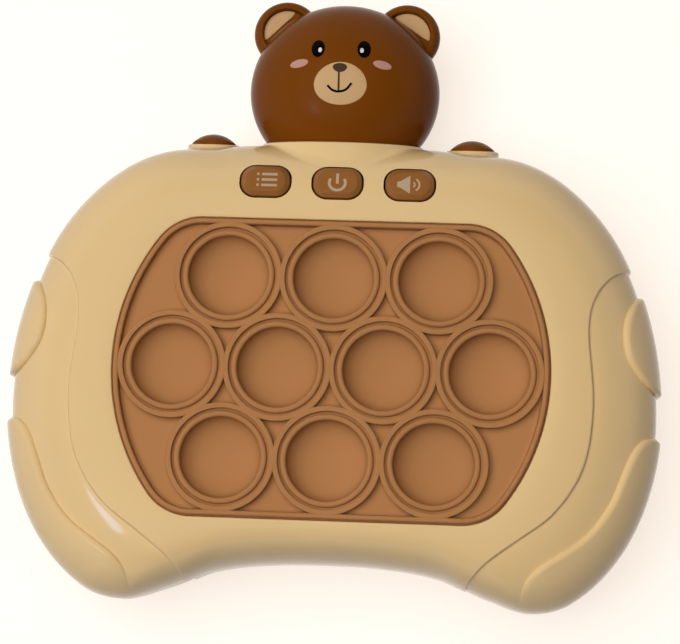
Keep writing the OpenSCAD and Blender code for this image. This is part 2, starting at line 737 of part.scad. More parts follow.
// Screws: a head with a plain shank, head down, ending short of the hole's end by screw_end
screw_end = 0.5;
module pan_screw(head_r, head_h, r, l) {
    translate([0, 0, -head_h]) cylinder(r1 = head_r - 0.4, r2 = head_r, h = head_h);
    translate([0, 0, -eps]) cylinder(r = r, h = l);
}
module clamp_screws() color(steel) at(clamp_spots) translate([0, 0, skirt_z])
    pan_screw(clamp_head_r, clamp_head_h, clamp_screw_r - screw_gap, clamp_tip - skirt_z - screw_end);
module board_screws() color(steel) at(board_spots) translate([0, 0, board_under])
    pan_screw(clamp_head_r, clamp_head_h, board_screw_r - screw_gap, board_t + board_screw_l - screw_end);
module case_screws() color(steel) at(case_spots) translate([0, 0, case_well_z])
    pan_screw(case_head_r, case_head_h, case_screw_r - screw_gap, case_screw_tip - case_well_z - screw_end);

// Circuit board with its switches, lights and chip
switch_w = 6;
switch_cap_r = 1.7;
switch_cap_h = 1;
board_hw = 1.5 * bubble_pitch + 8;
board_hh = row_step + 11;
board_tab_hw = shoulder_x + 7;
stem_r = 2.2;
stem_l = 2.3;
shoulder_switch_y = shoulder_flange_y - stem_l - shoulder_travel - switch_gap;
board_top = shoulder_switch_y - switch_cap_h;
module circuit_board() color(board_green) translate([0, 0, board_under]) difference() {
    linear_extrude(board_t) {
        round_rect(2 * board_hw, 2 * board_hh, 4);
        translate([0, board_top / 2]) round_rect(2 * board_tab_hw, board_top, 3);
    }
    at(board_spots) translate([0, 0, -1]) cylinder(r = board_screw_r + fit_gap, h = board_t + 2);
}
module push_switch() {
    translate([-switch_w / 2, -switch_w / 2, 0]) cube([switch_w, switch_w, switch_h - switch_cap_h]);
    cylinder(r = switch_cap_r, h = switch_h);
}
module bubble_switches() color(black_abs) at(bubble_spots) translate([0, 0, board_z]) push_switch();
module button_switches() color(black_abs) at(key_spots) translate([0, 0, board_z]) push_switch();
light_x = 5.5;
light_size = [2.8, 3.5, 1.2];
lens_r = 1.2;
lens_h = 0.5;
module bubble_lights() color("white") at(bubble_spots) for (side = [-1, 1])
    translate([side * light_x, 0, board_z + light_size.z]) {
        translate([-light_size.x / 2, -light_size.y / 2, -light_size.z]) cube(light_size);
        translate([0, 0, -eps]) cylinder(r1 = lens_r, r2 = lens_r - 0.2, h = lens_h);
    }
module shoulder_switches() color(black_abs) at(shoulder_spots) {
    body_y = shoulder_switch_y - switch_cap_h;
    along_y(body_y - switch_h, body_y)
        translate([0, board_under - part_z - switch_w / 2]) square(switch_w, center = true);
    along_y(body_y - switch_cap_h, shoulder_switch_y) circle(switch_cap_r);
}
chip_r = 6;
chip_h = 1.6;
module control_chip() color(black_abs) translate([0, 0, board_under]) mirror([0, 0, 1]) rotate_extrude()
    polygon(concat([[0, 0]], [for (i = [0:6]) [chip_r * cos(15 * i), chip_h * sin(15 * i)]]));

// Buttons
key_edge = 0.7;
// A button's cap, drawn in by inset and cut off along the crown at height h
module key_cap(inset, h) intersection() {
    linear_extrude(2 * h) round_rect(key_w - 2 * inset, key_l - 2 * inset, key_corner - inset);
    translate([0, 0, h]) rotate([key_tilt, 0, 0])
        translate([-key_w, -key_w, -2 * h]) cube([2 * key_w, 2 * key_w, 2 * h]);
}
module front_button(p) color(cocoa) translate([p.x, p.y, key_flange_z]) {
    h = key_top_z - key_flange_z;
    key_cap(0, h - key_edge);
    key_cap(key_edge, h);
    linear_extrude(key_flange_t)
        round_rect(key_w + 2 * key_flange, key_l + 2 * key_flange, key_corner + key_flange);
    translate([0, 0, key_plunger_z - key_flange_z])
        cylinder(r = stem_r, h = key_flange_z - key_plunger_z + eps);
}
module shoulder_button(side) color(chocolate) translate([side * shoulder_x, 0, part_z]) rotate([-90, 0, 0])
    rotate_extrude() polygon(concat(
        [[0, shoulder_flange_y - stem_l], [stem_r, shoulder_flange_y - stem_l], [stem_r, shoulder_flange_y]],
        [[shoulder_flange_r, shoulder_flange_y], [shoulder_flange_r, shoulder_flange_y + shoulder_flange_t]],
        [[shoulder_r, shoulder_flange_y + shoulder_flange_t]],
        [for (i = [0:8]) [shoulder_r * cos(11.25 * i), turret_y + shoulder_dome * sin(11.25 * i)]]
    ));

// Bear head: an egg-shaped shell in two halves, with round ears and a neck held by the case
lining_t = 1.2;
lining_sink = 0.8;
lining_z = ear_t / 2 - lining_sink - lining_t;
ear_spots = [for (side = [-1, 1]) [side * ear_x, head_y + ear_rise, part_z]];
head_boss_r = 2.8;
head_screw_r = 1;
head_screw_x = 9;
head_screw_rise = 1;
head_screw_spots = [for (side = [-1, 1]) [side * head_screw_x, head_y + head_screw_rise, part_z]];
head_shelf_l = 8;
head_thread_l = 8;
head_well_r = 2.4;
// Half an egg over the parting plane, drawn in by inset and carried on straight below it by skirt
egg_turns = 40;
egg_rows = 6;
module half_egg(inset, skirt) translate([0, head_y, part_z]) {
    size = [head_w / 2 - inset, head_h / 2 - inset, head_d / 2 - inset];
    ring_at = function (k, z) [
        for (i = [0:egg_turns - 1])
            let (a = -360 * i / egg_turns, phi = 90 * k / egg_rows)
                [size.x * sin(phi) * cos(a), size.y * sin(phi) * sin(a), size.z * cos(phi) - z]
    ];
    rings = concat([for (k = [1:egg_rows]) each ring_at(k, 0)], ring_at(egg_rows, skirt));
    hub = len(rings);
    polyhedron(
        concat(rings, [[0, 0, size.z], [0, 0, -skirt]]),
        concat(
            grid_faces(rings, egg_rows + 1, egg_turns, false),
            fan(hub, 0, egg_turns, true),
            fan(hub + 1, hub - egg_turns, egg_turns, false)
        )
    );
}
module above(rise) intersection() {
    children();
    over_collar(rise);
}
module ear() rotate_extrude() {
    translate([ear_r - ear_t / 2, 0]) circle(ear_t / 2);
    translate([0, -ear_t / 2]) square([ear_r - ear_t / 2, ear_t]);
}
// One half of the head, open at the parting plane; turned over it is the other half
parting_skirt = 0.5;
module half_head() {
    front_half() difference() {
        union() {
            above(0) half_egg(0, parting_skirt);
            at(ear_spots) ear();
        }
        above(head_wall) half_egg(head_wall, 2 * parting_skirt);
    }
    front_half() translate([0, 0, part_z]) {
        along_y(neck_seat_y - fit_gap - neck_flange_t, neck_seat_y - fit_gap) circle(neck_flange_r);
        along_y(neck_seat_y - fit_gap - 1, collar_y + 1) circle(neck_r);
    }
}
module head_front() color(chocolate) difference() {
    union() {
        half_head();
        intersection() {
            at(head_screw_spots) cylinder(r = head_boss_r, h = head_d / 2);
            half_egg(head_wall / 2, parting_skirt);
        }
    }
    at(head_screw_spots) translate([0, 0, -1]) cylinder(r = head_screw_r, h = head_thread_l + 1);
    difference() {
        at(ear_spots) translate([0, 0, lining_z]) cylinder(r = lining_r + fit_gap, h = ear_t);
        half_egg(fit_gap, parting_skirt);
    }
}
module head_rear() color(chocolate) difference() {
    turned_over() union() {
        half_head();
        intersection() {
            at(head_screw_spots) cylinder(r = head_boss_r + 0.8, h = head_d / 2);
            half_egg(head_wall / 2, parting_skirt);
        }
    }
    at(head_screw_spots) translate([0, 0, -head_d]) {
        cylinder(r = head_screw_r + fit_gap, h = 2 * head_d);
        cylinder(r = head_well_r, h = head_d - head_shelf_l);
    }
}
module head_screws() color(steel) at(head_screw_spots) translate([0, 0, -head_shelf_l])
    pan_screw(head_well_r - 0.4, clamp_head_h, head_screw_r - screw_gap,
              head_shelf_l + head_thread_l - screw_end);
module ear_linings() color(tan_lining) difference() {
    at(ear_spots) translate([0, 0, lining_z]) cylinder(r = lining_r, h = lining_t);
    half_egg(-fit_gap, parting_skirt);
}

// Battery side
module battery_door() color(cream) translate([0, box_y, 0]) difference() {
    translate([0, 0, door_set]) linear_extrude(door_t)
        round_rect(2 * (door_hx - slide_gap), 2 * (door_hy - slide_gap), door_corner - slide_gap);
    at([for (p = door_spots) [p.x, 0]]) {
        translate([0, 0, door_set - eps])
            cylinder(r1 = door_head_r + screw_gap, r2 = door_screw_r + screw_gap, h = door_head_h);
        cylinder(r = door_screw_r + screw_gap, h = door_z + 1);
    }
}
module door_screws() color(steel) at(door_spots) translate([0, 0, door_set]) {
    cylinder(r1 = door_head_r, r2 = door_screw_r - screw_gap, h = door_head_h);
    cylinder(r = door_screw_r - screw_gap, h = door_screw_l);
}
cell_spots = [for (i = [0:cell_count - 1]) [0, box_y + (i - (cell_count - 1) / 2) * cell_pitch, cell_z]];
cap_r = 4.6;
nub_r = 1.9;
nub_h = 1;
module batteries() color("#3d6f9e") for (i = [0:cell_count - 1]) translate(cell_spots[i])
    rotate([0, i % 2 == 0 ? 90 : -90, 0]) translate([0, 0, -cell_l / 2]) rotate_extrude()
        polygon([[0, 0], [cap_r, 0], [cell_d / 2, nub_h / 2], [cell_d / 2, cell_l - 1.5 * nub_h],
                 [cap_r, cell_l - nub_h], [nub_r, cell_l - nub_h], [nub_r, cell_l], [0, cell_l]]);
contact_t = 0.4;
tag_w = 3;
tag_top = box_top + box_wall + 1;
tag_spots = [[box_hx - contact_t / 2, cell_spots[0].y],
             [contact_t / 2 - box_hx, cell_spots[cell_count - 1].y]];
module contact_plate(w) translate([-contact_t, -w / 2, -4]) cube([contact_t, w, 8]);
module battery_contacts() color(copper) {
    for (i = [0:cell_count - 1], end = [-1, 1]) translate(cell_spots[i]) mirror([end < 0 ? 1 : 0, 0, 0])
        translate([box_hx, 0, 0]) {
            plus = (i % 2 == 0 ? 1 : -1) == end;
            joined = i < cell_count - 1 && !plus;
            contact_plate(7);
            if (joined) translate([0, cell_pitch / 2, 0]) contact_plate(cell_pitch);
            tip = 0.2 - contact_room;
            rotate([90, 0, 0]) translate([0, 0, -3]) linear_extrude(6) polygon(plus
                ? [[-eps, 1.9], [tip, 1], [tip, -1], [-eps, -1.9]]
                : [[-eps, -3.6], [tip, 1], [tip, 2], [-eps, -2.4]]);
        }
    at(tag_spots) translate([-contact_t / 2, -tag_w / 2, cell_z]) cube([contact_t, tag_w, tag_top - cell_z]);
}

// Leads: a round wire along a curve with two handles
lead_r = 0.6;
lead_rings = 7;
lead_sides = 6;
module lead(from, to, up) {
    handles = [from, from + [0, 0, up], to - [0, 0, up], to];
    at_t = function (t) (1 - t) ^ 3 * handles[0] + 3 * t * (1 - t) ^ 2 * handles[1]
        + 3 * t ^ 2 * (1 - t) * handles[2] + t ^ 3 * handles[3];
    line = [for (k = [0:lead_rings]) at_t(k / lead_rings)];
    ways = [for (k = [0:lead_rings]) k == 0 || k == lead_rings ? [0, 0, 1] : line[k + 1] - line[k - 1]];
    ring_of = function (c, way) let (
        n = way / norm(way),
        u = cross([0, 1, 0], n) / norm(cross([0, 1, 0], n)),
        v = cross(n, u)
    ) [for (i = [0:lead_sides - 1]) let (a = -360 * i / lead_sides) c + lead_r * (cos(a) * u + sin(a) * v)];
    rings = [for (k = [lead_rings:-1:0]) each ring_of(line[k], ways[k])];
    hub = len(rings);
    polyhedron(
        concat(rings, [line[lead_rings], line[0]]),
        concat(
            grid_faces(rings, lead_rings + 1, lead_sides, false),
            fan(hub, 0, lead_sides, true),
            fan(hub + 1, hub - lead_sides, lead_sides, false)
        )
    );
}
module battery_leads() color("#a03028") for (p = tag_spots)
    lead([p.x, p.y, tag_top], [p.x - sign(p.x) * 6, p.y + sign(p.x) * 4, board_under], 3);
module speaker_leads() color("#2b2b2e") for (side = [-1, 1])
    lead([side * pole_r / 2, speaker_y + magnet_r + slide_gap, speaker_back_z],
         [side * pole_r / 2, speaker_y + basket_r + basket_lip, board_under], pole_r);

// Loudspeaker, cone towards the grille
basket_h = 3.4;
basket_t = 0.8;
basket_r = 9;
basket_lip = 2;
magnet_r = 7.5;
magnet_h = 2.6;
magnet_step = 0.7;
pole_r = 6;
cone_h = 2.2;
cone_t = 0.4;
cone_cap_r = 4;
cone_edge_r = speaker_r - basket_lip - slide_gap;
speaker_back_z = speaker_seat_z + basket_h;
module speaker_frame() color(black_abs) translate([0, speaker_y, speaker_seat_z]) rotate_extrude() polygon([
    [speaker_r - basket_lip, 0], [speaker_r, 0], [speaker_r, basket_t], [speaker_r - 2 * basket_t, basket_t],
    [basket_r, basket_h], [pole_r, basket_h], [pole_r, basket_h - basket_t],
    [basket_r - basket_t / 2, basket_h - basket_t], [speaker_r - basket_lip, basket_t]
]);
module speaker_magnet() color(steel) translate([0, speaker_y, speaker_back_z]) {
    cylinder(r = magnet_r, h = magnet_h);
    translate([0, 0, magnet_h - eps]) cylinder(r = magnet_r - magnet_step, h = basket_t);
}
module speaker_cone() color("#4a4a4e") translate([0, speaker_y, speaker_seat_z]) rotate_extrude() polygon([
    [0, cone_t], [cone_cap_r, 2.5 * cone_t], [cone_edge_r, cone_t / 4], [cone_edge_r, 1.25 * cone_t],
    [cone_cap_r, cone_h], [0, cone_h - 2 * cone_t]
]);

// The frame's origin is under the middle of the whole game
low_y = min([for (p = [for (a = angles) rear_point(a, 90, 0)]) p.y]);
high_y = head_y + ear_rise + ear_r;
module place() translate([0, -(low_y + high_y) / 2, 0]) children();

function tag(i) = str(i < 9 ? "0" : "", i + 1);
place() front_shell();
place() rear_shell();
place() bubble_pad();
for (i = [0:len(bubble_spots) - 1]) {
    place() bubble(bubble_spots[i]);
    place() bubble_key(bubble_spots[i]);
}
place() clamp_plate();
place() clamp_screws();
place() circuit_board();
place() board_screws();
place() bubble_switches();
place() bubble_lights();
place() button_switches();
place() shoulder_switches();
place() control_chip();
place() front_button(key_spots[0]);  // menu_button
place() front_button(key_spots[1]);  // power_button
place() front_button(key_spots[2]);  // volume_button
place() shoulder_button(-1);  // left_shoulder_button
place() shoulder_button(1);  // right_shoulder_button
place() head_front();
place() head_rear();
place() ear_linings();
place() head_screws();
place() case_screws();
place() battery_door();
place() door_screws();
place() batteries();
place() battery_contacts();
place() battery_leads();
place() speaker_frame();
place() speaker_cone();
place() speaker_magnet();
place() speaker_leads();
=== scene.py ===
# %% [markdown]
# # Electronic bubble pop game with a bear head
# The real game is a two-part moulded case with a silicone sheet of push-in bubbles in its window.
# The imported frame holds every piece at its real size. This lesson dresses it: each shell, the sheet and
# the head become smooth surfaces worked out as arrays, and each finish is a small tree of shader nodes.
# Lengths are in millimetres from the centre of the bubble sheet, with z above the table.

# %% Load the frame
import json

import bpy
import numpy as np
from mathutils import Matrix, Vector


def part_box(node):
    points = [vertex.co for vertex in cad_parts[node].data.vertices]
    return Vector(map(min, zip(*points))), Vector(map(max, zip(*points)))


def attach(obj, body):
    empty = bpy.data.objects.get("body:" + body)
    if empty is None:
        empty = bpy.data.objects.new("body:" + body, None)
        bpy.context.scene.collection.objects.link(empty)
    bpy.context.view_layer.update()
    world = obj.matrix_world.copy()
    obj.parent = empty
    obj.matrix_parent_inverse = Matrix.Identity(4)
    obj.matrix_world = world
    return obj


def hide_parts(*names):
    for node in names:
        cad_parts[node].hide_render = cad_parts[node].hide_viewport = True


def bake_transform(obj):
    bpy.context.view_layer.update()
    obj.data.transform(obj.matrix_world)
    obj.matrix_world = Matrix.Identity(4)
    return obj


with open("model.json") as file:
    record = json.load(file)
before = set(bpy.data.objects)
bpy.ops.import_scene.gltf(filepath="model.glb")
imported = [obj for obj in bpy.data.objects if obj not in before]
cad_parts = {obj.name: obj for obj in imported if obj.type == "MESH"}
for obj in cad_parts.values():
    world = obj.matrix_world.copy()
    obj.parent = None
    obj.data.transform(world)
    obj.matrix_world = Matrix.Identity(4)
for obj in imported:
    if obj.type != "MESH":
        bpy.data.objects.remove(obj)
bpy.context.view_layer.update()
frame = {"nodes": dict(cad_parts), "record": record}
MM = 0.001
sheet_low, sheet_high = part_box("bubble_pad")
SHEET_MIDDLE = np.array([(sheet_low.x + sheet_high.x) / 2, (sheet_low.y + sheet_high.y) / 2, 0.0]) / MM


def in_frame(points):
    """Millimetres from the sheet's centre to metres in the part's frame."""
    return (np.asarray(points, float) + SHEET_MIDDLE) * MM


# %% [markdown]
# ## Camera
# The photograph looks almost straight down, from a little below and to the right of the sheet. Its place
# was worked out from the bubbles, which lie on an even grid: one focal length in pixels, one place and
# three tilts make the ten circles fall where the photograph shows them, so no lens shift is needed.

# %% Camera
IMAGE_W = 680
FOCAL_PX = 1922.26
SENSOR_W = 36.0
CAMERA_SPOT, CAMERA_TILTS = (25.21, -59.15, 506.13), (8.633, 2.819, 1.762)
camera_data = bpy.data.cameras.new("camera")
camera_data.sensor_width = SENSOR_W
camera_data.lens = FOCAL_PX * SENSOR_W / IMAGE_W
camera = bpy.data.objects.new("camera", camera_data)
camera.location = in_frame(CAMERA_SPOT)
camera.rotation_mode = "ZYX"
camera.rotation_euler = np.radians(CAMERA_TILTS)
bpy.context.scene.collection.objects.link(camera)
bpy.context.scene.camera = camera
print("lens, mm:", round(camera_data.lens, 2))


# %% [markdown]
# ## From arrays to pieces
# Every new piece is a grid of points: rings of the same number of points, row after row. A row can close
# on a single hub point, as at the top of a dome, or the last row can join the first, as in a hollow ring.
# The signed volume of the closed grid says whether its faces point outwards, and turns them if not.


# %% Faces of a grid
def ring_faces(rows, count, looped):
    """Quads between neighbouring rings; looped joins the last ring to the first."""
    row = np.arange(rows if looped else rows - 1)[:, None]
    here = np.arange(count)[None, :]
    after = (here + 1) % count
    below = (row + 1) % rows
    corners = [row * count + here, row * count + after, below * count + after, below * count + here]
    return np.stack(corners, -1).reshape(-1, 4)


def hub_faces(hub, first, count, turned):
    """A fan of triangles from a hub point to one ring."""
    here = first + np.arange(count)
    after = first + (np.arange(count) + 1) % count
    fan = np.stack([np.full(count, hub), here, after], -1)
    return fan[:, ::-1] if turned else fan


def volume_of(points, faces):
    """Six times the signed volume, from the tetrahedra that each face makes with the origin."""
    total = 0.0
    for k in range(1, faces.shape[1] - 1):
        a, b, c = points[faces[:, 0]], points[faces[:, k]], points[faces[:, k + 1]]
        total += np.einsum("ij,ij->", a, np.cross(b, c))
    return total


print("faces of a looped grid of 3 rings of 8 points:", len(ring_faces(3, 8, True)))

# %% Pieces from rings
SHARP_DEGREES = 40
SHARP_ANGLE = np.radians(SHARP_DEGREES)


def new_piece(name, points, face_sets, finish_of):
    """A smooth-shaded mesh object in the part's frame, its faces turned outwards."""
    points = np.asarray(points, float)
    middle = points - points.mean(0)
    if sum(volume_of(middle, faces) for faces in face_sets) < 0:
        face_sets = [faces[:, ::-1] for faces in face_sets]
    mesh = bpy.data.meshes.new(name)
    mesh.from_pydata(in_frame(points).tolist(), [], [f for faces in face_sets for f in faces.tolist()])
    mesh.shade_smooth()
    mesh.set_sharp_from_angle(angle=SHARP_ANGLE)
    piece = bpy.data.objects.new(name, mesh)
    bpy.context.scene.collection.objects.link(piece)
    mesh.materials.append(finish_of)
    return piece


def ring_piece(name, rings, finish_of, first_hub=None, last_hub=None):
    """A closed piece from an array of rings (rows, points, 3): capped by hubs, or looped without them."""
    rows, count = rings.shape[:2]
    points = rings.reshape(-1, 3)
    looped = first_hub is None and last_hub is None
    face_sets = [ring_faces(rows, count, looped)]
    if not looped:
        points = np.concatenate([points, [first_hub, last_hub]])
        first_fan = hub_faces(rows * count, 0, count, True)
        last_fan = hub_faces(rows * count + 1, (rows - 1) * count, count, False)
        face_sets.append(np.concatenate([first_fan, last_fan]))
    return new_piece(name, points, face_sets, finish_of)


print("an edge is sharp above, degrees:", SHARP_DEGREES)


# %% Profiles and outlines
def revolved(profile, count):
    """Rings of a profile of (radius, height) turned about the z axis: (r cos a, r sin a, h)."""
    radius, height = np.asarray(profile, float).T
    turn = np.linspace(0, 2 * np.pi, count, endpoint=False)
    rings = np.empty((len(radius), count, 3))
    rings[..., 0] = radius[:, None] * np.cos(turn)
    rings[..., 1] = radius[:, None] * np.sin(turn)
    rings[..., 2] = height[:, None]
    return rings


def arc(centre, radius, start, end, count):
    """Points of a circular arc in a profile, from start to end degrees."""
    turn = np.radians(np.linspace(start, end, count))
    return np.stack([centre[0] + radius * np.cos(turn), centre[1] + radius * np.sin(turn)], -1)


def soft_box(width, length, corner, count):
    """A rectangle with round corners: each point is a corner's centre plus its arc."""
    turn = np.linspace(0, 2 * np.pi, count, endpoint=False) + np.pi / count
    way = np.stack([np.cos(turn), np.sin(turn)], -1)
    return np.sign(way) * (np.array([width, length]) / 2 - corner) + corner * way


def lift_to(outline, height):
    """A flat outline at one height."""
    return np.concatenate([outline, np.full((len(outline), 1), height)], -1)


print("corners of a sharp box of 2 by 1:", soft_box(2, 1, 0, 4).tolist())

# %% Cuts
CUT_SOLVER = "EXACT"


def carve(piece, cutter):
    """Cuts one piece with another and keeps the result as plain mesh."""
    cut = piece.modifiers.new("cut", "BOOLEAN")
    cut.object = cutter
    cut.solver = CUT_SOLVER
    bpy.context.view_layer.update()
    done = bpy.data.meshes.new_from_object(piece.evaluated_get(bpy.context.evaluated_depsgraph_get()))
    piece.modifiers.clear()
    piece.data = done
    done.shade_smooth()
    done.set_sharp_from_angle(angle=SHARP_ANGLE)
    bpy.data.objects.remove(cutter)


def joined(name, rods, finish_of):
    """One cutter from several prisms, each a list of a lower and an upper ring."""
    points, face_sets, base = [], [], 0
    for low, high in rods:
        count = len(low)
        points += [low, high, [low.mean(0), high.mean(0)]]
        hub = base + 2 * count
        face_sets.append(ring_faces(2, count, False) + base)
        caps = (hub_faces(hub, base, count, True), hub_faces(hub + 1, base + count, count, False))
        face_sets.append(np.concatenate(caps))
        base = hub + 2
    return new_piece(name, np.concatenate(points), face_sets, finish_of)


print("cuts are made by the solver:", CUT_SOLVER)

# %% [markdown]
# ## Finishes
# Each finish is one Principled shader. The colour is measured on the photograph and turned from sRGB to
# linear by one function; a slow noise shifts it a little, as in any moulding, and a fine noise gives the
# faint orange peel or the dusty skin that breaks up a reflection. A real moulded grain is finer than the
# picture shows, so it is drawn as coarse as some tenths of a millimetre. All patterns read Object
# coordinates, which are metres here, so a pattern's scale is one over its size in metres.

# %% Shader helpers
RAMP_ENDS = (0.3, 0.7)
ROUGH_SPREAD = 0.1


def linear(code):
    """An sRGB hex colour as linear red, green, blue and full alpha."""
    part = np.array([int(code[i:i + 2], 16) for i in (1, 3, 5)]) / 255
    return (*np.where(part <= 0.04045, part / 12.92, ((part + 0.055) / 1.055) ** 2.4), 1.0)


def add(tree, kind, inputs=None, **settings):
    """Adds a node, sets its own settings, and links or sets its inputs."""
    made = tree.nodes.new(kind)
    for name, value in settings.items():
        setattr(made, name, value)
    for name, value in (inputs or {}).items():
        if isinstance(value, bpy.types.NodeSocket):
            tree.links.new(value, made.inputs[name])
        else:
            made.inputs[name].default_value = value
    return made


def finish(name, code, rough, ior, gleam=0.5, shade=0.05, patch=30, peel=0.4, depth=0.01, metal=0.0):
    """A moulded or printed finish.

    Its colour drifts in patches of patch mm, and a fine bump is peel mm wide and depth mm high.
    """
    made = bpy.data.materials.new(name)
    made.use_nodes = True
    tree = made.node_tree
    shader = tree.nodes["Principled BSDF"]
    where = add(tree, "ShaderNodeTexCoord").outputs["Object"]
    slow = add(tree, "ShaderNodeTexNoise", {"Vector": where, "Scale": 1 / (patch * MM), "Detail": 3.0})
    fine = add(tree, "ShaderNodeTexNoise", {"Vector": where, "Scale": 1 / (peel * MM), "Detail": 2.0})
    base = np.array(linear(code))
    ramp = add(tree, "ShaderNodeValToRGB", {"Fac": slow.outputs["Fac"]})
    for end, place, share in zip(ramp.color_ramp.elements, RAMP_ENDS, (1 - shade, 1 + shade)):
        end.position = place
        end.color = (*np.minimum(base[:3] * share, 1), 1)
    low, high = rough * (1 - ROUGH_SPREAD), rough * (1 + ROUGH_SPREAD)
    gloss = add(tree, "ShaderNodeMapRange", {"Value": slow.outputs["Fac"], "To Min": low, "To Max": high})
    relief = {"Height": fine.outputs["Fac"], "Distance": depth * MM, "Strength": 1.0}
    bump = add(tree, "ShaderNodeBump", relief)
    tree.links.new(ramp.outputs["Color"], shader.inputs["Base Color"])
    tree.links.new(gloss.outputs["Result"], shader.inputs["Roughness"])
    tree.links.new(bump.outputs["Normal"], shader.inputs["Normal"])
    for socket, value in (("IOR", ior), ("Specular IOR Level", gleam), ("Metallic", metal)):
        shader.inputs[socket].default_value = value
    return made


print("half grey in linear light:", np.round(linear("#808080")[0], 3))

# %% Finishes outside
# Paints, inks and films have the shader's own default, which the metals below keep too
ABS_IOR, SILICONE_IOR, FILM_IOR = 1.53, 1.41, 1.5
# ABS moulded in a smooth tool: a clear but weak reflection, hardly any grain
cream_abs = finish("glossy_cream_abs", "#dfbc84", 0.1, ABS_IOR, gleam=0.35, shade=0.03, patch=60, peel=0.5,
                   depth=0.006)
# ABS from a polished tool: a clear, slightly wavy reflection, weak because the room above is dark
chocolate_abs = finish("polished_chocolate_abs", "#713b08", 0.2, ABS_IOR, gleam=0.05, patch=25, peel=2.0)
# ABS with a worn satin skin, as on buttons
cocoa_abs = finish("satin_cocoa_abs", "#8c5826", 0.4, ABS_IOR, gleam=0.2, patch=6, depth=0.006)
# Silicone rubber, moulded matte: dull, soft at its edges, with a dusty skin
caramel_silicone = finish("matte_caramel_silicone", "#ab7648", 0.65, SILICONE_IOR, gleam=0.12, shade=0.04,
                          patch=25, peel=0.35, depth=0.012)
# ABS painted tan in the ears: an even, dull coat
tan_paint = finish("tan_ear_paint", "#c09668", 0.5, FILM_IOR, gleam=0.3, shade=0.04, patch=5, peel=0.3,
                   depth=0.008)
# Pad-printed inks: thin, even, a little duller than the gloss below
ink_film = {"ior": FILM_IOR, "peel": 0.3, "depth": 0.004}
muzzle_ink = finish("tan_pad_print", "#c49c6c", 0.42, gleam=0.25, shade=0.03, patch=4, **ink_film)
black_ink = finish("black_pad_print", "#030101", 0.3, gleam=0.06, shade=0.1, patch=4, **ink_film)
nose_ink = finish("dark_brown_pad_print", "#43301c", 0.4, gleam=0.2, patch=4, **ink_film)
blush_ink = finish("dusty_pink_pad_print", "#b98878", 0.42, gleam=0.25, shade=0.04, patch=4, **ink_film)
white_ink = finish("white_pad_print", "#d9d2c8", 0.4, shade=0.02, patch=4, **ink_film)
symbol_ink = finish("pale_pad_print", "#b4987a", 0.45, gleam=0.3, shade=0.04, patch=3, **ink_film)
print("materials so far, with the frame's own:", len(bpy.data.materials))

# %% Finishes inside
PAPER_IOR = 1.4
# Satin mouldings: a milky diffuser over each light, a white plate, black switches
milky_abs = finish("milky_diffuser_plastic", "#eeeae0", 0.45, FILM_IOR, shade=0.02, patch=8)
white_abs = finish("white_moulded_abs", "#e8e6e0", 0.45, ABS_IOR, shade=0.02, patch=15)
black_abs = finish("black_moulded_abs", "#26262a", 0.45, ABS_IOR, shade=0.1, patch=6)
# Solder mask on a circuit board: a smooth green film
board_mask = finish("green_solder_mask", "#2f6b45", 0.35, FILM_IOR, shade=0.1, patch=3)
# Shrink sleeve of a cell: a glossy film
cell_wrap = finish("blue_shrink_sleeve", "#3d6f9e", 0.3, FILM_IOR, patch=8)
# Wire insulation: soft, with a low sheen
red_wire = finish("red_wire_insulation", "#a03028", 0.45, FILM_IOR, shade=0.06, patch=3)
# Pressed paper: rough and without gloss
cone_paper = finish("grey_pressed_paper", "#4a4a4e", 0.8, PAPER_IOR, shade=0.12, patch=1.5, peel=0.25,
                    depth=0.03)
# Plated steel and spring strip: bright metal in faint patches
zinc_steel = finish("zinc_plated_steel", "#b9bcc0", 0.3, FILM_IOR, shade=0.06, patch=2, metal=1.0)
spring_copper = finish("plated_spring_strip", "#c48a52", 0.3, FILM_IOR, shade=0.06, patch=2, metal=1.0)
print("materials in all, with the frame's own:", len(bpy.data.materials))


# %% [markdown]
# ## The case's outline
# The case is drawn in polar form round the sheet's centre: for each angle, one radius for the window's
# edge and one for the outline. It could be a drawn curve, but with a radius for each angle every ring of the
# case has its points on the same rays. The window is a barrel of straight lines and arcs, so its radius is
# exact. The outline goes smoothly through a few points on one half, and the other half mirrors it.

# %% Sizes of the case
CROWN = 2.4
FACE_Z, PART_Z = 40.0, 19.0
FRONT_H, REAR_H = FACE_Z - PART_Z, PART_Z
BACK_ROUND = 14.0
WALL = 2.2
PITCH = 26.0
ROW_STEP = PITCH * np.sqrt(3) / 2
BEAD_R = 13.4
SHEET_EDGE_X, SHEET_EDGE_Y = 1.05, 0.75
SHEET_HW, SHEET_HH = 1.5 * PITCH + BEAD_R + SHEET_EDGE_X, ROW_STEP + BEAD_R + SHEET_EDGE_Y
SHEET_SIDE_R, SHEET_CORNER_R = 53.25, 12.85
WINDOW_GAP = 0.45
GRIP_W, BROW_W, ARCH_W = 28.4, 22.9, 10.3
CASE_HW = SHEET_HW + WINDOW_GAP + GRIP_W
CASE_TOP = SHEET_HH + WINDOW_GAP + BROW_W
ARCH_Y = -SHEET_HH - WINDOW_GAP - ARCH_W
HORN_DROP = 10.6
print("half width and top of the case, mm:", round(CASE_HW, 2), round(CASE_TOP, 2))

# %% Outline
# Points on the right half, as shares of the half width and of each stretch's height
BROW = [(0, 0.985), (0.365, 0.98), (0.565, 0.95), (0.693, 0.862), (0.848, 0.642), (0.943, 0.367),
        (0.996, 0.033)]
GRIP = [(0.99, 0.337), (0.898, 0.698), (0.762, 0.914), (0.625, 1)]
ARCH = [(0.492, 0.723), (0.34, 0.235), (0.17, 0.042), (0, 0)]


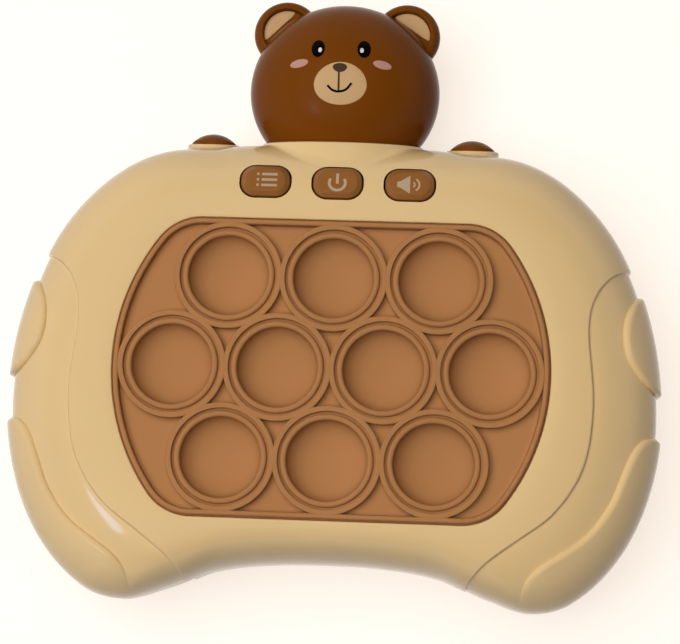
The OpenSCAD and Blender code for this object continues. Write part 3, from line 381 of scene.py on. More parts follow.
def smooth_curve(table, at):
    """A cubic through (x, y) points, with each slope taken from the two neighbours of its point."""
    x, y = np.array(sorted(table), float).T
    index = np.arange(len(x))
    before, after = np.maximum(index - 1, 0), np.minimum(index + 1, len(x) - 1)
    slope = (y[after] - y[before]) / (x[after] - x[before])
    k = np.clip(np.searchsorted(x, at) - 1, 0, len(x) - 2)
    h = x[k + 1] - x[k]
    t = (at - x[k]) / h
    ends = (2 * t**3 - 3 * t**2 + 1) * y[k] + (3 * t**2 - 2 * t**3) * y[k + 1]
    return ends + (t**3 - 2 * t**2 + t) * h * slope[k] + (t**3 - t**2) * h * slope[k + 1]


outline_half = np.concatenate([
    np.array(BROW) * (CASE_HW, CASE_TOP),
    np.array(GRIP) * (CASE_HW, ARCH_Y - HORN_DROP),
    np.array(ARCH) * (CASE_HW, -HORN_DROP) + (0, ARCH_Y),
])
outline_polar = [(np.degrees(np.arctan2(y, x)), np.hypot(x, y)) for x, y in outline_half]
outline_polar = [(180 - outline_polar[1][0], outline_polar[1][1])] + outline_polar
outline_polar += [(-180 - outline_polar[-2][0], outline_polar[-2][1])]


def outline_r(fold):
    """Radius of the case at angles folded onto the right half, in degrees."""
    return smooth_curve(outline_polar, fold)


print("points on the right half of the outline:", len(outline_half))

# %% Window
# Keeps the flat top's radius finite near the sides, where it isn't used
FLAT_SINE = 0.2


def ray_r(x, y, radius, turn):
    """Distance along a ray from the origin to the far side of a circle."""
    along = x * np.cos(turn) + y * np.sin(turn)
    return along + np.sqrt(np.maximum(along**2 - x**2 - y**2 + radius**2, 0))


def barrel_r(grow, fold):
    """Radius of the sheet's barrel outline grown by some mm: flat top, corner arc, side arc."""
    turn = np.radians(np.abs(fold))
    side, corner = SHEET_SIDE_R + grow, SHEET_CORNER_R + grow
    side_x, corner_y = SHEET_HW - SHEET_SIDE_R, SHEET_HH - SHEET_CORNER_R
    corner_x = side_x + np.sqrt((side - corner) ** 2 - corner_y**2)
    reach = side / (side - corner)
    flat_from = np.arctan2(SHEET_HH + grow, corner_x)
    side_to = np.arctan2(reach * corner_y, side_x + reach * (corner_x - side_x))
    flat = (SHEET_HH + grow) / np.maximum(np.sin(turn), FLAT_SINE)
    round_part = ray_r(corner_x, corner_y, corner, turn)
    side_part = ray_r(side_x, 0, side, turn)
    return np.where(turn >= flat_from, flat, np.where(turn > side_to, round_part, side_part))


def folded(angle):
    """Angles from 90 down to -270 folded onto the right half."""
    return np.where(angle < -90, -180 - angle, angle)


print("half width and half height of the window, mm:", barrel_r(WINDOW_GAP, np.array([0, 90])).round(2))

# %% [markdown]
# ## Front shell
# The front is a crown: at each angle its section is a quarter of a superellipse from the window's edge to
# the outline. On the grips the real moulding steps down behind a long crease and rises again in two pads.
# A displacement map could draw those steps, but they would smear over the grid. Here the rows of the grid
# run along the crease and the pads' edges instead: the crease is a small step with a fine groove, a pad's
# edge a quarter of an ellipse, and the points move along the crown's own normal.

# %% Front shell: grip edges and angles
# Each grip edge as (angle, radius), from the outline inwards and back to the outline
CREASE = [(21.5, 80.6), (20.3, 73.7), (17.5, 68.4), (13, 65.1), (6, 63.9), (-7, 65.1), (-20, 66.3),
          (-31, 64.9), (-41, 61.8), (-49, 60.7), (-54.5, 61.9), (-57.6, 64.2)]
UPPER_PAD = [(16.8, 81), (15, 77.4), (12.2, 74.4), (8.5, 72.9), (4.8, 73.1), (1.7, 75.2), (-0.7, 78.5),
             (-2, 82.6)]
LOWER_PAD = [(-8.8, 83.6), (-10.2, 79.4), (-13, 77.0), (-17, 76.0), (-24, 75.7), (-31, 74.2), (-37, 71.5),
             (-41.5, 69.9), (-45, 70.1), (-47.8, 72.2), (-50.4, 76.8)]
GRIP_STEP, PAD_RISE = 0.8, 1.4
STEP_W, PAD_EDGE_W, CREASE_CUT = 0.58, 1.5, 0.3
PARKED_CREASE, PARKED_PAD = 84.0, 87.0
EDGE_ENDS = [table[i][0] for table in (CREASE, UPPER_PAD, LOWER_PAD) for i in (0, -1)]
# Stretches of angles (from, to, count): close over the grips, wider over the plain brow and arch
SPANS = [(90, 57, 56), (56, 23, 30), (22.6, -58.6, 190), (-60, -90, 22)]
# The angles are closest near a grip edge's end, but none nearer than the least step
END_SPAN, END_COUNT, LEAST_STEP = 1.4, 21, 0.05
near_ends = [end + np.linspace(-END_SPAN, END_SPAN, END_COUNT) for end in EDGE_ENDS]
half = np.concatenate([np.linspace(*span) for span in SPANS] + near_ends)
half = np.unique(half.round(3))[::-1]
half = half[np.concatenate([[True], -np.diff(half) > LEAST_STEP])]
ANGLES = np.concatenate([half, -180 - half[-2:0:-1]])
FOLD = folded(ANGLES)
TURN = np.radians(ANGLES)
print("angles round the case:", len(ANGLES))


# %% Front shell: lines on the crown
def ring_at(radius, height):
    """One ring of the case: (r cos a, r sin a, height) at all the case's angles."""
    return np.stack([radius * np.cos(TURN), radius * np.sin(TURN), height + 0 * radius], -1)


def smooth_step(x):
    """0 before 0, 1 after 1, level at both ends."""
    x = np.clip(x, 0, 1)
    return x * x * (3 - 2 * x)


def reach_of(table, fold, top_ease, low_ease):
    """1 between the two ends of a grip edge and 0 outside, eased over some degrees at each end."""
    return smooth_step((table[0][0] - fold) / top_ease) * smooth_step((fold - table[-1][0]) / low_ease)


def phi_of(share):
    """The crown's angle at a share of the way out: share = sin(phi) to the power 2 / crown."""
    return np.degrees(np.arcsin(np.clip(share, 0, 1) ** (CROWN / 2)))


def edge_line(table, fold, parked):
    """Where a grip edge crosses each angle, as phi; where there is no edge it is parked near the rim."""
    within = np.clip(fold, table[-1][0], table[0][0])
    window = barrel_r(WINDOW_GAP, fold)
    phi = phi_of((smooth_curve(table, within) - window) / (outline_r(fold) - window))
    return np.where(fold == within, np.minimum(phi, parked), parked)


print("phi halfway from the window to the rim:", phi_of(0.5).round(1))

# %% Front shell: points on the crown
# Half a degree of phi each way gives an edge's width for one degree
PHI_TRY, LEAST_SINE = 0.5, 0.3


def crown_point(fold, turn, phi, lift, inset=0.0):
    """Crown points: r = window + run sin(phi)^(2/c), z = rise cos(phi)^(2/c), then out by lift."""
    share = np.sin(np.radians(phi)) ** (2 / CROWN)
    height = np.cos(np.radians(np.minimum(phi, 90))) ** (2 / CROWN)
    window = barrel_r(WINDOW_GAP, fold)
    run, rise = outline_r(fold) - window - inset, FRONT_H - inset
    slope_r, slope_z = share ** (CROWN - 1) / run, height ** (CROWN - 1) / rise
    size = np.hypot(slope_r, slope_z)
    out, up = slope_r / size, slope_z / size
    r = window + run * share + lift * out
    return np.stack([r * np.cos(turn), r * np.sin(turn), PART_Z + rise * height + lift * up], -1)


def edge_width(phi, width):
    """Width of a grip edge in degrees of phi, from its true width across the edge in mm."""
    spot = crown_point(FOLD, TURN, phi, 0.0)
    before, after = (crown_point(FOLD, TURN, phi + way * PHI_TRY, 0.0) for way in (-1, 1))
    across = after - before
    along = np.roll(spot, -1, 0) - np.roll(spot, 1, 0)
    area = np.linalg.norm(np.cross(along, across), axis=-1)
    sine = area / np.linalg.norm(along, axis=-1) / np.linalg.norm(across, axis=-1)
    return width / np.maximum(sine, LEAST_SINE) / np.linalg.norm(across, axis=-1)


halfway = crown_point(np.zeros(1), np.zeros(1), np.array([45.0]), 0.0)
print("a point halfway over the right grip, mm:", halfway[0].round(1).tolist())

# %% Front shell: rows along the grip edges
FIRST_PHI, CREASE_END, LAST_PHI = 3.0, 89.0, 89.6
# An edge takes at most a share of the room that is left before the rim
CREASE_SHARE, PAD_SHARE, EDGES_APART = 0.3, 0.8, 0.6
# Degrees over which an edge fades at its upper and at its lower end
CREASE_EASE, UPPER_EASE, LOWER_EASE = (0.7, 0.7), (1.2, 0.7), (1.2, 9.0)
pad_phi = np.minimum(edge_line(UPPER_PAD, FOLD, PARKED_PAD), edge_line(LOWER_PAD, FOLD, PARKED_PAD))
crease_phi = edge_line(CREASE, FOLD, PARKED_CREASE)
crease_w = edge_width(crease_phi, STEP_W)
pad_w = edge_width(pad_phi, PAD_EDGE_W)
crease_w = np.minimum(crease_w, (CREASE_END - crease_phi) * CREASE_SHARE)
pad_phi = np.maximum(pad_phi, crease_phi + crease_w + EDGES_APART)
pad_w = np.minimum(pad_w, (LAST_PHI - pad_phi) * PAD_SHARE)
sunk = -GRIP_STEP * reach_of(CREASE, FOLD, *CREASE_EASE)
raised = PAD_RISE * (reach_of(UPPER_PAD, FOLD, *UPPER_EASE) + reach_of(LOWER_PAD, FOLD, *LOWER_EASE))


def rows_between(low, high, count, first=0.0, last=1.0):
    """Rows of phi from one edge to the next."""
    return low + (high - low) * np.linspace(first, last, count)[:, None]


across = np.linspace(-1, 1, 9)[:, None]
over = 1 - np.cos(np.linspace(0, np.pi / 2, 13))[:, None]
phi_rows = np.concatenate([
    rows_between(FIRST_PHI, crease_phi - crease_w, 22, 0.0, 0.96),
    crease_phi + crease_w * across,
    rows_between(crease_phi + crease_w, pad_phi, 12, 0.06, 0.97),
    pad_phi + pad_w * over,
    rows_between(pad_phi + pad_w, LAST_PHI, 14, 0.06, 1.0),
])
step_rows = smooth_step((phi_rows - crease_phi + crease_w) / (2 * crease_w))
pad_rows = np.sqrt(1 - (1 - np.clip((phi_rows - pad_phi) / pad_w, 0, 1)) ** 2)
groove_rows = (1 - np.clip((phi_rows - crease_phi) / crease_w, -1, 1) ** 2) ** 2
lift_rows = sunk * (step_rows + CREASE_CUT / GRIP_STEP * groove_rows) + raised * pad_rows
crown_skin = crown_point(FOLD, TURN, phi_rows, lift_rows)
print("rows on the crown:", len(phi_rows))

# %% Front shell: window edge and inside
WINDOW_DEPTH, WINDOW_ROUND, WINDOW_SINK, PART_ROUND = 3.6, 0.4, 0.05, 0.3
INSIDE_PHI = np.array([89.0, 70, 50, 30, 12])
window = barrel_r(WINDOW_GAP, FOLD)
lip_z = FACE_Z - WINDOW_SINK
lip = [ring_at(window, FACE_Z - WINDOW_DEPTH)]
lip += [ring_at(window + WINDOW_ROUND * (1 - np.cos(t)), lip_z - WINDOW_ROUND * (1 - np.sin(t)))
        for t in np.radians((0, 30, 60, 90))]
edge_r = np.hypot(crown_skin[-1, :, 0], crown_skin[-1, :, 1])
foot = ring_at(edge_r - PART_ROUND, PART_Z)
inside = crown_point(FOLD, TURN, INSIDE_PHI[:, None] + 0 * FOLD, 0.0, WALL)
front_rings = np.concatenate([np.stack(lip), crown_skin, [foot], inside])
front = ring_piece("front_shell_skin", front_rings, cream_abs)
print("front shell:", len(front_rings), "rings of", len(ANGLES), "points")

# %% Front shell: button wells
KEY_SIZE, KEY_CORNER, KEY_SPACING, KEY_POINTS = (12.2, 8.2), 3.6, 18.0, 96
KEY_SETBACK, KEY_PROUD, KEY_GAP = 9.7, 1.2, 0.45
KEY_Y = SHEET_HH + WINDOW_GAP + KEY_SETBACK
brow_run = BROW[0][1] * CASE_TOP - SHEET_HH - WINDOW_GAP
key_share = KEY_SETBACK / brow_run
KEY_Z = PART_Z + FRONT_H * (1 - key_share**CROWN) ** (1 / CROWN)
KEY_SLOPE = -FRONT_H / brow_run * key_share ** (CROWN - 1) * (1 - key_share**CROWN) ** (1 / CROWN - 1)
KEY_X = {"menu_button": -KEY_SPACING, "power_button": 0.0, "volume_button": KEY_SPACING}
KEY_WELL = PART_Z + 12, FACE_Z + 6
well = soft_box(KEY_SIZE[0] + 2 * KEY_GAP, KEY_SIZE[1] + 2 * KEY_GAP, KEY_CORNER + KEY_GAP, KEY_POINTS)
key_rods = [tuple(lift_to(well + (x, KEY_Y), z) for z in KEY_WELL) for x in KEY_X.values()]
TURRET_X, TURRET_Y, TURRET_R, TURRET_BORE = 33.6, CASE_TOP + 0.5, 6.8, 6.0
BORE_LOW, BORE_HIGH, BORE_POINTS = CASE_TOP - 12, CASE_TOP + 3, 48


def bore_ring(side, y):
    """A ring of a shoulder button's bore: a circle round the turret's axis, at one y."""
    circle = soft_box(2 * TURRET_BORE, 2 * TURRET_BORE, TURRET_BORE, BORE_POINTS)
    return np.stack([side * TURRET_X + circle[:, 0], np.full(BORE_POINTS, y), PART_Z + circle[:, 1]], -1)


shoulder_bores = [(bore_ring(side, BORE_LOW), bore_ring(side, BORE_HIGH)) for side in (-1, 1)]
carve(front, joined("button_wells", key_rods + shoulder_bores, cream_abs))
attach(front, "case")
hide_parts("front_shell")
print("front shell:", len(front.data.polygons), "faces; button slope", round(KEY_SLOPE, 3))

# %% [markdown]
# ## Rear shell
# The back is a shallow bowl with a flat middle and a wide round edge, and the grip pads run over its edge
# and fade. Its section is again a quarter of a superellipse, from the flat middle to the same outline.
# Screw wells, the bed of the battery door and the speaker's holes are cut afterwards, with prisms, because
# they stand square to the back and would bend with the bowl's rows.

# %% Rear shell: bowl
REAR_PHI = np.array([4, 12, 20, 29, 38, 47, 56, 65, 73, 80, 86, 89.4])
FLAT_SHARES = (0.35, 0.7, 0.97)
edge_lift = sunk + raised


def bowl(phi, inset, lift):
    """Bowl rings: r = flat middle + edge width sin(phi)^(2/c), z = -depth cos(phi)^(2/c)."""
    share = np.sin(np.radians(phi))[:, None] ** (2 / CROWN)
    height = np.cos(np.radians(phi))[:, None] ** (2 / CROWN)
    r = outline_r(FOLD) - BACK_ROUND + (BACK_ROUND - inset + lift) * share
    return np.stack([r * np.cos(TURN), r * np.sin(TURN), PART_Z - (REAR_H - inset) * height + 0 * r], -1)


flat_r = outline_r(FOLD) - BACK_ROUND
flat_rings = np.stack([ring_at(flat_r * share, 0.0) for share in FLAT_SHARES])
outer = bowl(REAR_PHI, 0.0, edge_lift)
inner = bowl(REAR_PHI[::-2], WALL, 0.0)
rear_rings = np.concatenate([flat_rings, outer, [foot], inner])
rear = ring_piece("rear_shell_skin", rear_rings, cream_abs, (0, 0, 0), (0, 0, WALL))
print("rear shell:", len(rear_rings), "rings of", len(ANGLES), "points")


# %% Rear shell: screw wells, door bed and grille
def disc(x, y, radius, low, high, count=48):
    """A round prism as its two rings."""
    turn = np.linspace(0, 2 * np.pi, count, endpoint=False)
    flat = np.stack([x + radius * np.cos(turn), y + radius * np.sin(turn)], -1)
    return lift_to(flat, low), lift_to(flat, high)


SCREW_INSET, WELL_R, WELL_TOP = 11.5, 3.0, 8.5
SCREW_ANGLES = (41, 3, -38)
screw_spots = []
for angle in SCREW_ANGLES:
    reach = (outline_r(np.array([angle])) - SCREW_INSET)[0]
    x, y = reach * np.cos(np.radians(angle)), reach * np.sin(np.radians(angle))
    screw_spots += [(-x, y), (x, y)]
DOOR_Y, DOOR_HX, DOOR_HY, DOOR_CORNER, DOOR_BED = -8.0, 33.35, 19.05, 4.0, 2.2
SPEAKER_Y, SPEAKER_R, HOLE_R, HOLE_PITCH, HOLE_MARGIN = 27.55, 14.0, 1.0, 3.4, 3.5
CUT_LOW, BED_CUT, WELL_CUT, HOLE_CUT = -2, WALL + 1, WELL_TOP + 4, 6
bed = soft_box(2 * DOOR_HX, 2 * DOOR_HY, DOOR_CORNER, 96) + (0, DOOR_Y)
i, j = np.meshgrid(np.arange(-3, 4), np.arange(-3, 4))
holes = np.stack([(i + j / 2) * HOLE_PITCH, j * HOLE_PITCH * np.sqrt(3) / 2], -1).reshape(-1, 2)
holes = holes[np.hypot(*holes.T) < SPEAKER_R - HOLE_MARGIN]
rods = [(lift_to(bed, CUT_LOW), lift_to(bed, BED_CUT))]
rods += [disc(*spot, WELL_R, CUT_LOW, WELL_CUT) for spot in screw_spots]
rods += [disc(x, SPEAKER_Y + y, HOLE_R, CUT_LOW, HOLE_CUT, 20) for x, y in holes]
carve(rear, joined("back_cuts", rods + shoulder_bores, cream_abs))
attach(rear, "case")
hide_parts("rear_shell")
print("rear shell:", len(rear.data.polygons), "faces;", len(holes), "holes in the grille")

# %% [markdown]
# ## Collar and turrets
# The head stands on an oval collar, and each shoulder button in a round turret. Both rise out of the case
# with a soft foot. The section of such a boss is an oval in the x-z plane; its top falls away from the
# parting plane, its edge is rounded, and its foot is a quadratic curve from the wall to the skin, bent
# towards the corner between them. A bevel could round that foot, but only after a clean cut. Rows that are
# worked out on the skin need no cut; halving finds the skin's place, since the crown has no plain inverse.

# %% Skin under the bosses
SEARCH_FROM, SEARCH_TO, HALVINGS = 30.0, 66.0, 40


def case_y(x, z):
    """The height in y of the case's skin over x and z, near the head."""
    low, high = np.full(x.shape, SEARCH_FROM), np.full(x.shape, SEARCH_TO)
    for _ in range(HALVINGS):
        y = (low + high) / 2
        fold = np.degrees(np.arctan2(y, np.abs(x)))
        rim_r = outline_r(fold)
        start = np.where(z > PART_Z, barrel_r(WINDOW_GAP, fold), rim_r - BACK_ROUND)
        depth = np.where(z > PART_Z, FRONT_H, REAR_H)
        share = np.maximum(np.hypot(x, y) - start, 0) / (rim_r - start)
        inside = share**CROWN + (np.abs(z - PART_Z) / depth) ** CROWN < 1
        low, high = np.where(inside, y, low), np.where(inside, high, y)
    return low


print("skin on the parting plane over the middle, mm:", case_y(np.zeros(1), np.full(1, PART_Z)).round(2))

# %% Collar and turrets
COLLAR_Y, COLLAR_HW, COLLAR_FACE, COLLAR_BACK = CASE_TOP + 1.0, 21.0, 17.0, 14.0
COLLAR_FALL, TURRET_FALL = np.tan(np.radians((10, 12)))
COLLAR_FLARE, TURRET_FLARE, COLLAR_BORE = 1.7, 2.4, 8.0
BOSS_EDGE, BOSS_TUCK, BOSS_SINK, LEAST_WALL = 0.5, 0.3, 3.0, 0.02


def boss(name, x, half_w, face, back, top_y, fall, flare, bore):
    """Rings from the bore over the rounded top and down the flared foot, then under the skin again."""
    t = np.linspace(0, 2 * np.pi, 160, endpoint=False)
    deep = np.where(np.sin(t) > 0, face, back)

    def ring(grow, height):
        """The oval grown by some mm, with each point's y from the function height."""
        wide, z = x + (half_w + grow) * np.cos(t), PART_Z + (deep + grow) * np.sin(t)
        return np.stack([wide, height(wide, z), z], -1)

    def top(drop):
        """The sloping top less drop: y falls with the distance from the parting plane."""
        return lambda wide, z: top_y - fall * np.abs(z - PART_Z) - drop

    turn = np.radians(np.linspace(0, 90, 6))
    rows = [ring(-bore, lambda wide, z: case_y(wide, z) - BOSS_SINK), ring(-bore, top(0))]
    rows += [ring(BOSS_EDGE * (np.sin(a) - 1), top(BOSS_EDGE * (1 - np.cos(a)))) for a in turn]
    corner, out = ring(0, case_y), ring(flare, case_y)
    wall = corner.copy()
    wall[:, 1] = np.minimum(rows[-1][:, 1] - LEAST_WALL, corner[:, 1] + flare)
    rows += [wall * (1 - s) ** 2 + corner * 2 * s * (1 - s) + out * s**2 for s in np.linspace(0, 1, 12)]
    rows.append(ring(flare, lambda wide, z: case_y(wide, z) - BOSS_TUCK))
    piece = ring_piece(name, np.stack(rows), cream_abs)
    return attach(piece, "case")


collar = boss("head_collar", 0.0, COLLAR_HW, COLLAR_FACE, COLLAR_BACK, COLLAR_Y, COLLAR_FALL, COLLAR_FLARE,
              COLLAR_BORE)
carve(collar, joined("collar_cuts", key_rods, cream_abs))
for side, name in ((-1, "left_turret"), (1, "right_turret")):
    turret = boss(name, side * TURRET_X, TURRET_R, TURRET_R, TURRET_R, TURRET_Y, TURRET_FALL, TURRET_FLARE,
                  TURRET_R - TURRET_BORE)
print("collar:", len(collar.data.polygons), "faces; a turret:", len(turret.data.polygons))

# %% [markdown]
# ## Cups, tray and seat inside the back
# Each screw well is a cup moulded on the back, the battery box is a tray with a broad rim that the door
# closes, and the speaker sits in a ring. They could be cut out of blocks, but walls are simpler as profiles:
# the cups and the ring are looped, and the tray's rings close over its floor.

# %% Screw cups
CUP_WALL, CUP_FLOOR, SCREW_R = 1.5, 4.0, 1.35
cup = [(WELL_R, WALL / 2), (WELL_R, WELL_TOP), (SCREW_R, WELL_TOP), (SCREW_R, WELL_TOP + CUP_FLOOR),
       (WELL_R + CUP_WALL, WELL_TOP + CUP_FLOOR), (WELL_R + CUP_WALL, WALL / 2)]
for number, spot in enumerate(screw_spots, 1):
    piece = ring_piece("screw_cup_%d" % number, revolved(cup, 48) + (*spot, 0), cream_abs)
    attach(piece, "case")
print("screw cups:", len(screw_spots))

# %% Battery tray and speaker seat
BOX_HX, BOX_HY, BOX_TOP, BOX_WALL, BED_WALL = 24.45, 16.55, 13.1, 1.5, 1.6
INNER_CORNER, OUTER_CORNER = 0.6, 1.5
LEDGE_TOP = DOOR_BED + 1.4


def tray_ring(half_x, half_y, corner, height):
    """One ring of the battery tray: a rounded rectangle round the door's middle."""
    return lift_to(soft_box(2 * half_x, 2 * half_y, corner, 96) + (0, DOOR_Y), height)


tray_top = BOX_TOP + BOX_WALL
inner_box = (BOX_HX, BOX_HY, INNER_CORNER)
outer_box = (BOX_HX + BOX_WALL, BOX_HY + BOX_WALL, OUTER_CORNER)
inner_bed = (DOOR_HX, DOOR_HY, DOOR_CORNER)
outer_bed = tuple(size + BED_WALL for size in inner_bed)
tray_walk = [(inner_box, BOX_TOP), (inner_box, DOOR_BED), (inner_bed, DOOR_BED), (inner_bed, WALL / 2),
             (outer_bed, WALL / 2), (outer_bed, LEDGE_TOP), (outer_box, LEDGE_TOP), (outer_box, tray_top)]
tray_rings = np.stack([tray_ring(*shape, height) for shape, height in tray_walk])
tray = ring_piece("battery_tray", tray_rings, cream_abs, (0, DOOR_Y, BOX_TOP), (0, DOOR_Y, tray_top))
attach(tray, "case")
SEAT_TOP, SEAT_GAP, SEAT_WALL = 6.0, 0.15, 1.4
seat_in = SPEAKER_R + SEAT_GAP
seat_out = seat_in + SEAT_WALL
seat_profile = [(seat_in, WALL / 2), (seat_in, SEAT_TOP), (seat_out, SEAT_TOP), (seat_out, WALL / 2)]
seat = ring_piece("speaker_seat", revolved(seat_profile, 64) + (0, SPEAKER_Y, 0), cream_abs)
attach(seat, "case")
print("tray:", len(tray.data.polygons), "faces; speaker seat:", len(seat.data.polygons))

# %% [markdown]
# ## Silicone sheet
# The sheet is one moulding: a flat web with a round rim, and ten ringed dishes. It could be one mesh, but
# dishes of their own can be pushed in one by one. The web is a polar grid whose last rows run over the rim,
# with round holes cut for the dishes.

# %% Sheet web
WEB_Z, BEAD_Z, LIP_Z, SHEET_UNDER = 38.6, 40.8, 40.4, 36.4
RIM_W, RIM_ROUND = 1.3, 0.55
FOOT_Z, FOOT_RISE, SHEET_SLIP = 38.9, 0.3, 0.05
WEB_SHARES = (0.25, 0.5, 0.75)
# The foot of the rim's inner wall: how far in from the rim, and how far above the web
FILLET = ((1.2, 0.0), (0.45, 0.0), (0.12, 0.12))
foot_out = WINDOW_GAP - SHEET_SLIP
rim_profile = np.concatenate([
    [(-RIM_W - inward, WEB_Z + rise) for inward, rise in FILLET],
    arc((-RIM_W + RIM_ROUND, BEAD_Z - RIM_ROUND), RIM_ROUND, 180, 90, 7),
    arc((-RIM_ROUND, BEAD_Z - RIM_ROUND), RIM_ROUND, 90, 0, 7),
    [(0, FOOT_Z + FOOT_RISE), (foot_out, FOOT_Z), (foot_out, SHEET_UNDER)],
])
web_r = barrel_r(rim_profile[0][0], FOLD)
rings = [ring_at(web_r * share, WEB_Z) for share in WEB_SHARES]
rings += [ring_at(barrel_r(grow, FOLD), z) for grow, z in rim_profile]
web = ring_piece("bubble_sheet_web", np.stack(rings), caramel_silicone, (0, 0, WEB_Z), (0, 0, SHEET_UNDER))
BUBBLE_ROWS = ((1, 3), (0, 4), (-1, 3))
BUBBLES = [((k - (count - 1) / 2) * PITCH, row * ROW_STEP)
           for row, count in BUBBLE_ROWS for k in range(count)]
WEB_HOLE, WEB_CUT_LOW, WEB_CUT_HIGH = 12.2, 30, 45
web_cuts = [disc(x, y, WEB_HOLE, WEB_CUT_LOW, WEB_CUT_HIGH, 96) for x, y in BUBBLES]
carve(web, joined("bubble_holes", web_cuts, caramel_silicone))
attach(web, "case")
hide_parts("bubble_pad")
print("sheet web:", len(web.data.polygons), "faces")

# %% [markdown]
# ## Bubbles
# A bubble is a surface of revolution: a bowl, a soft lip, a groove and a flat bead that meets its
# neighbours. It could be sculpted, but a profile keeps each edge at its measured radius. When a finger pushes
# the bowl in, only its wall stretches; the heights of that wall are worked out below, but nothing uses them.

# %% Bubble profile
FLOOR_Z, SKIN = 34.9, 0.7
BOWL_R, BOWL_CURVE = 9.9, 2.35
LIP_OUT, LIP_ROUND, LIP_LEAN = 11.4, 0.7, 0.05
GROOVE_Z = 39.4
BEAD_IN, BEAD_ROUND, BEAD_FALL, BEAD_FLAT, SHOULDER = 12.0, 0.25, 0.02, 0.1, 0.38
BEAD_FOOT, UNDER_TOP = WEB_Z - 0.3, WEB_Z - 0.35
BOWL_TURN = np.array([6, 14, 22, 30, 38, 46, 54, 62, 70, 77, 83, 87, 89.5])
UNDER_TURN = np.array([88, 76, 62, 46, 30, 14])
bowl_top = LIP_Z - LIP_ROUND
bead_out = BEAD_R - SHOULDER


def bowl_curve(grow, top, degrees):
    """Profile of the bowl, grown by some mm: r = a sin(t)^(2/n), z = top - b cos(t)^(2/n)."""
    t = np.radians(degrees)
    wide, deep = BOWL_R + grow, top - FLOOR_Z + grow
    return np.stack([wide * np.sin(t) ** (2 / BOWL_CURVE), top - deep * np.cos(t) ** (2 / BOWL_CURVE)], -1)


bubble_profile = np.concatenate([
    bowl_curve(0.0, bowl_top, BOWL_TURN),
    arc((BOWL_R + LIP_ROUND, bowl_top), LIP_ROUND, 175, 90, 8),
    arc((LIP_OUT - LIP_ROUND, bowl_top), LIP_ROUND, 90, 10, 8),
    [(LIP_OUT + LIP_LEAN, GROOVE_Z), (BEAD_IN, GROOVE_Z)],
    arc((BEAD_IN + BEAD_ROUND, BEAD_Z - BEAD_ROUND), BEAD_ROUND, 180, 90, 6),
    [(bead_out - BEAD_FLAT, BEAD_Z - BEAD_FALL)],
    arc((bead_out, BEAD_Z - BEAD_FALL - SHOULDER), SHOULDER, 90, 0, 6),
    [(BEAD_R, BEAD_FOOT)],
    bowl_curve(SKIN, UNDER_TOP, UNDER_TURN),
])
print("points on a bubble's profile:", len(bubble_profile))

# %% Bubbles
STRETCH_FROM, STRETCH_TO = WEB_Z - 0.4, FLOOR_Z + 0.2
for number, (x, y) in enumerate(BUBBLES, 1):
    name = "bubble_%02d" % number
    rings = revolved(bubble_profile, 112) + (x, y, 0)
    skin = ring_piece(name + "_skin", rings, caramel_silicone, (x, y, FLOOR_Z), (x, y, FLOOR_Z - SKIN))
    start, end = in_frame((x, y, STRETCH_FROM)), in_frame((x, y, STRETCH_TO))
    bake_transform(skin)
    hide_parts(name)
print("bubbles:", len(BUBBLES), "of", len(skin.data.polygons), "faces")

# %% [markdown]
# ## Front buttons and their symbols
# Each button is a rounded bar with a bevelled edge whose top lies along the crown. A bevel would treat all
# its edges alike, so its rows are the same rounded rectangle drawn in step by step. The symbols are ribbons
# of ink, a hair above the top: a path with a width stays sharp, where a picture of it would blur.

# %% Front buttons
KEY_FOOT = 31.0
# Rows of a button from its foot to its middle: how far in, and how high over the top; None is the foot
KEY_ROWS = [(0.0, None), (0.0, -1.3), (0.06, -1.12), (0.16, -1.0), (1.1, -0.12), (1.18, -0.05), (1.3, 0.0),
            (2.4, 0.0)]


def key_top(y):
    """Height of a button's sloping top at y: its middle's height plus the slope times the way to it."""
    return KEY_Z + KEY_PROUD + KEY_SLOPE * (y - KEY_Y)


def key_ring(x, inset, rise):
    """One row of a button: its rounded rectangle drawn in by inset, on the foot or along the sloping top."""
    wide, long = KEY_SIZE
    flat = soft_box(wide - 2 * inset, long - 2 * inset, KEY_CORNER - inset, KEY_POINTS) + (x, KEY_Y)
    height = np.full(KEY_POINTS, KEY_FOOT) if rise is None else key_top(flat[:, 1]) + rise
    return np.concatenate([flat, height[:, None]], -1)


for name, x in KEY_X.items():
    rings = np.stack([key_ring(x, inset, rise) for inset, rise in KEY_ROWS])
    key = ring_piece(name + "_cap", rings, cocoa_abs, (x, KEY_Y, KEY_FOOT), (x, KEY_Y, key_top(KEY_Y)))
    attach(key, name + "_body")
    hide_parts(name)
print("front buttons:", len(KEY_X), "of", len(key.data.polygons), "faces")

# %% Ribbons of ink
INK = 0.04


def ribbon(path, width):
    """The two sides of a ribbon: a path moved by half its width to the left and to the right."""
    path, width = np.asarray(path, float), np.broadcast_to(width, len(path))
    way = np.gradient(path, axis=0)
    side = np.stack([-way[:, 1], way[:, 0]], -1) / np.linalg.norm(way, axis=1)[:, None] * width[:, None] / 2
    return path + side, path - side


def ink_piece(name, strokes, lay, finish_of, body):
    """Ribbons of ink as thin slabs: four corners carried along each path, at the height that lay gives."""
    points, face_sets, base = [], [], 0
    for left, right in strokes:
        count = len(left)
        flat = np.stack([left, right, right, left], 1)
        height = lay(flat[..., 0], flat[..., 1]) + np.array([INK, INK, -INK, -INK])
        points.append(np.concatenate([flat, height[..., None]], -1).reshape(-1, 3))
        ends = np.array([[3, 2, 1, 0], [0, 1, 2, 3] + np.array(4 * (count - 1))])
        face_sets += [ring_faces(count, 4, False) + base, ends + base]
        base += 4 * count
    piece = new_piece(name, np.concatenate(points), face_sets, finish_of)
    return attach(piece, body)


def line_path(x0, y0, x1, y1, count=6):
    """Points of a straight stroke."""
    return np.linspace((x0, y0), (x1, y1), count)


print("ink stands above its surface, mm:", INK)


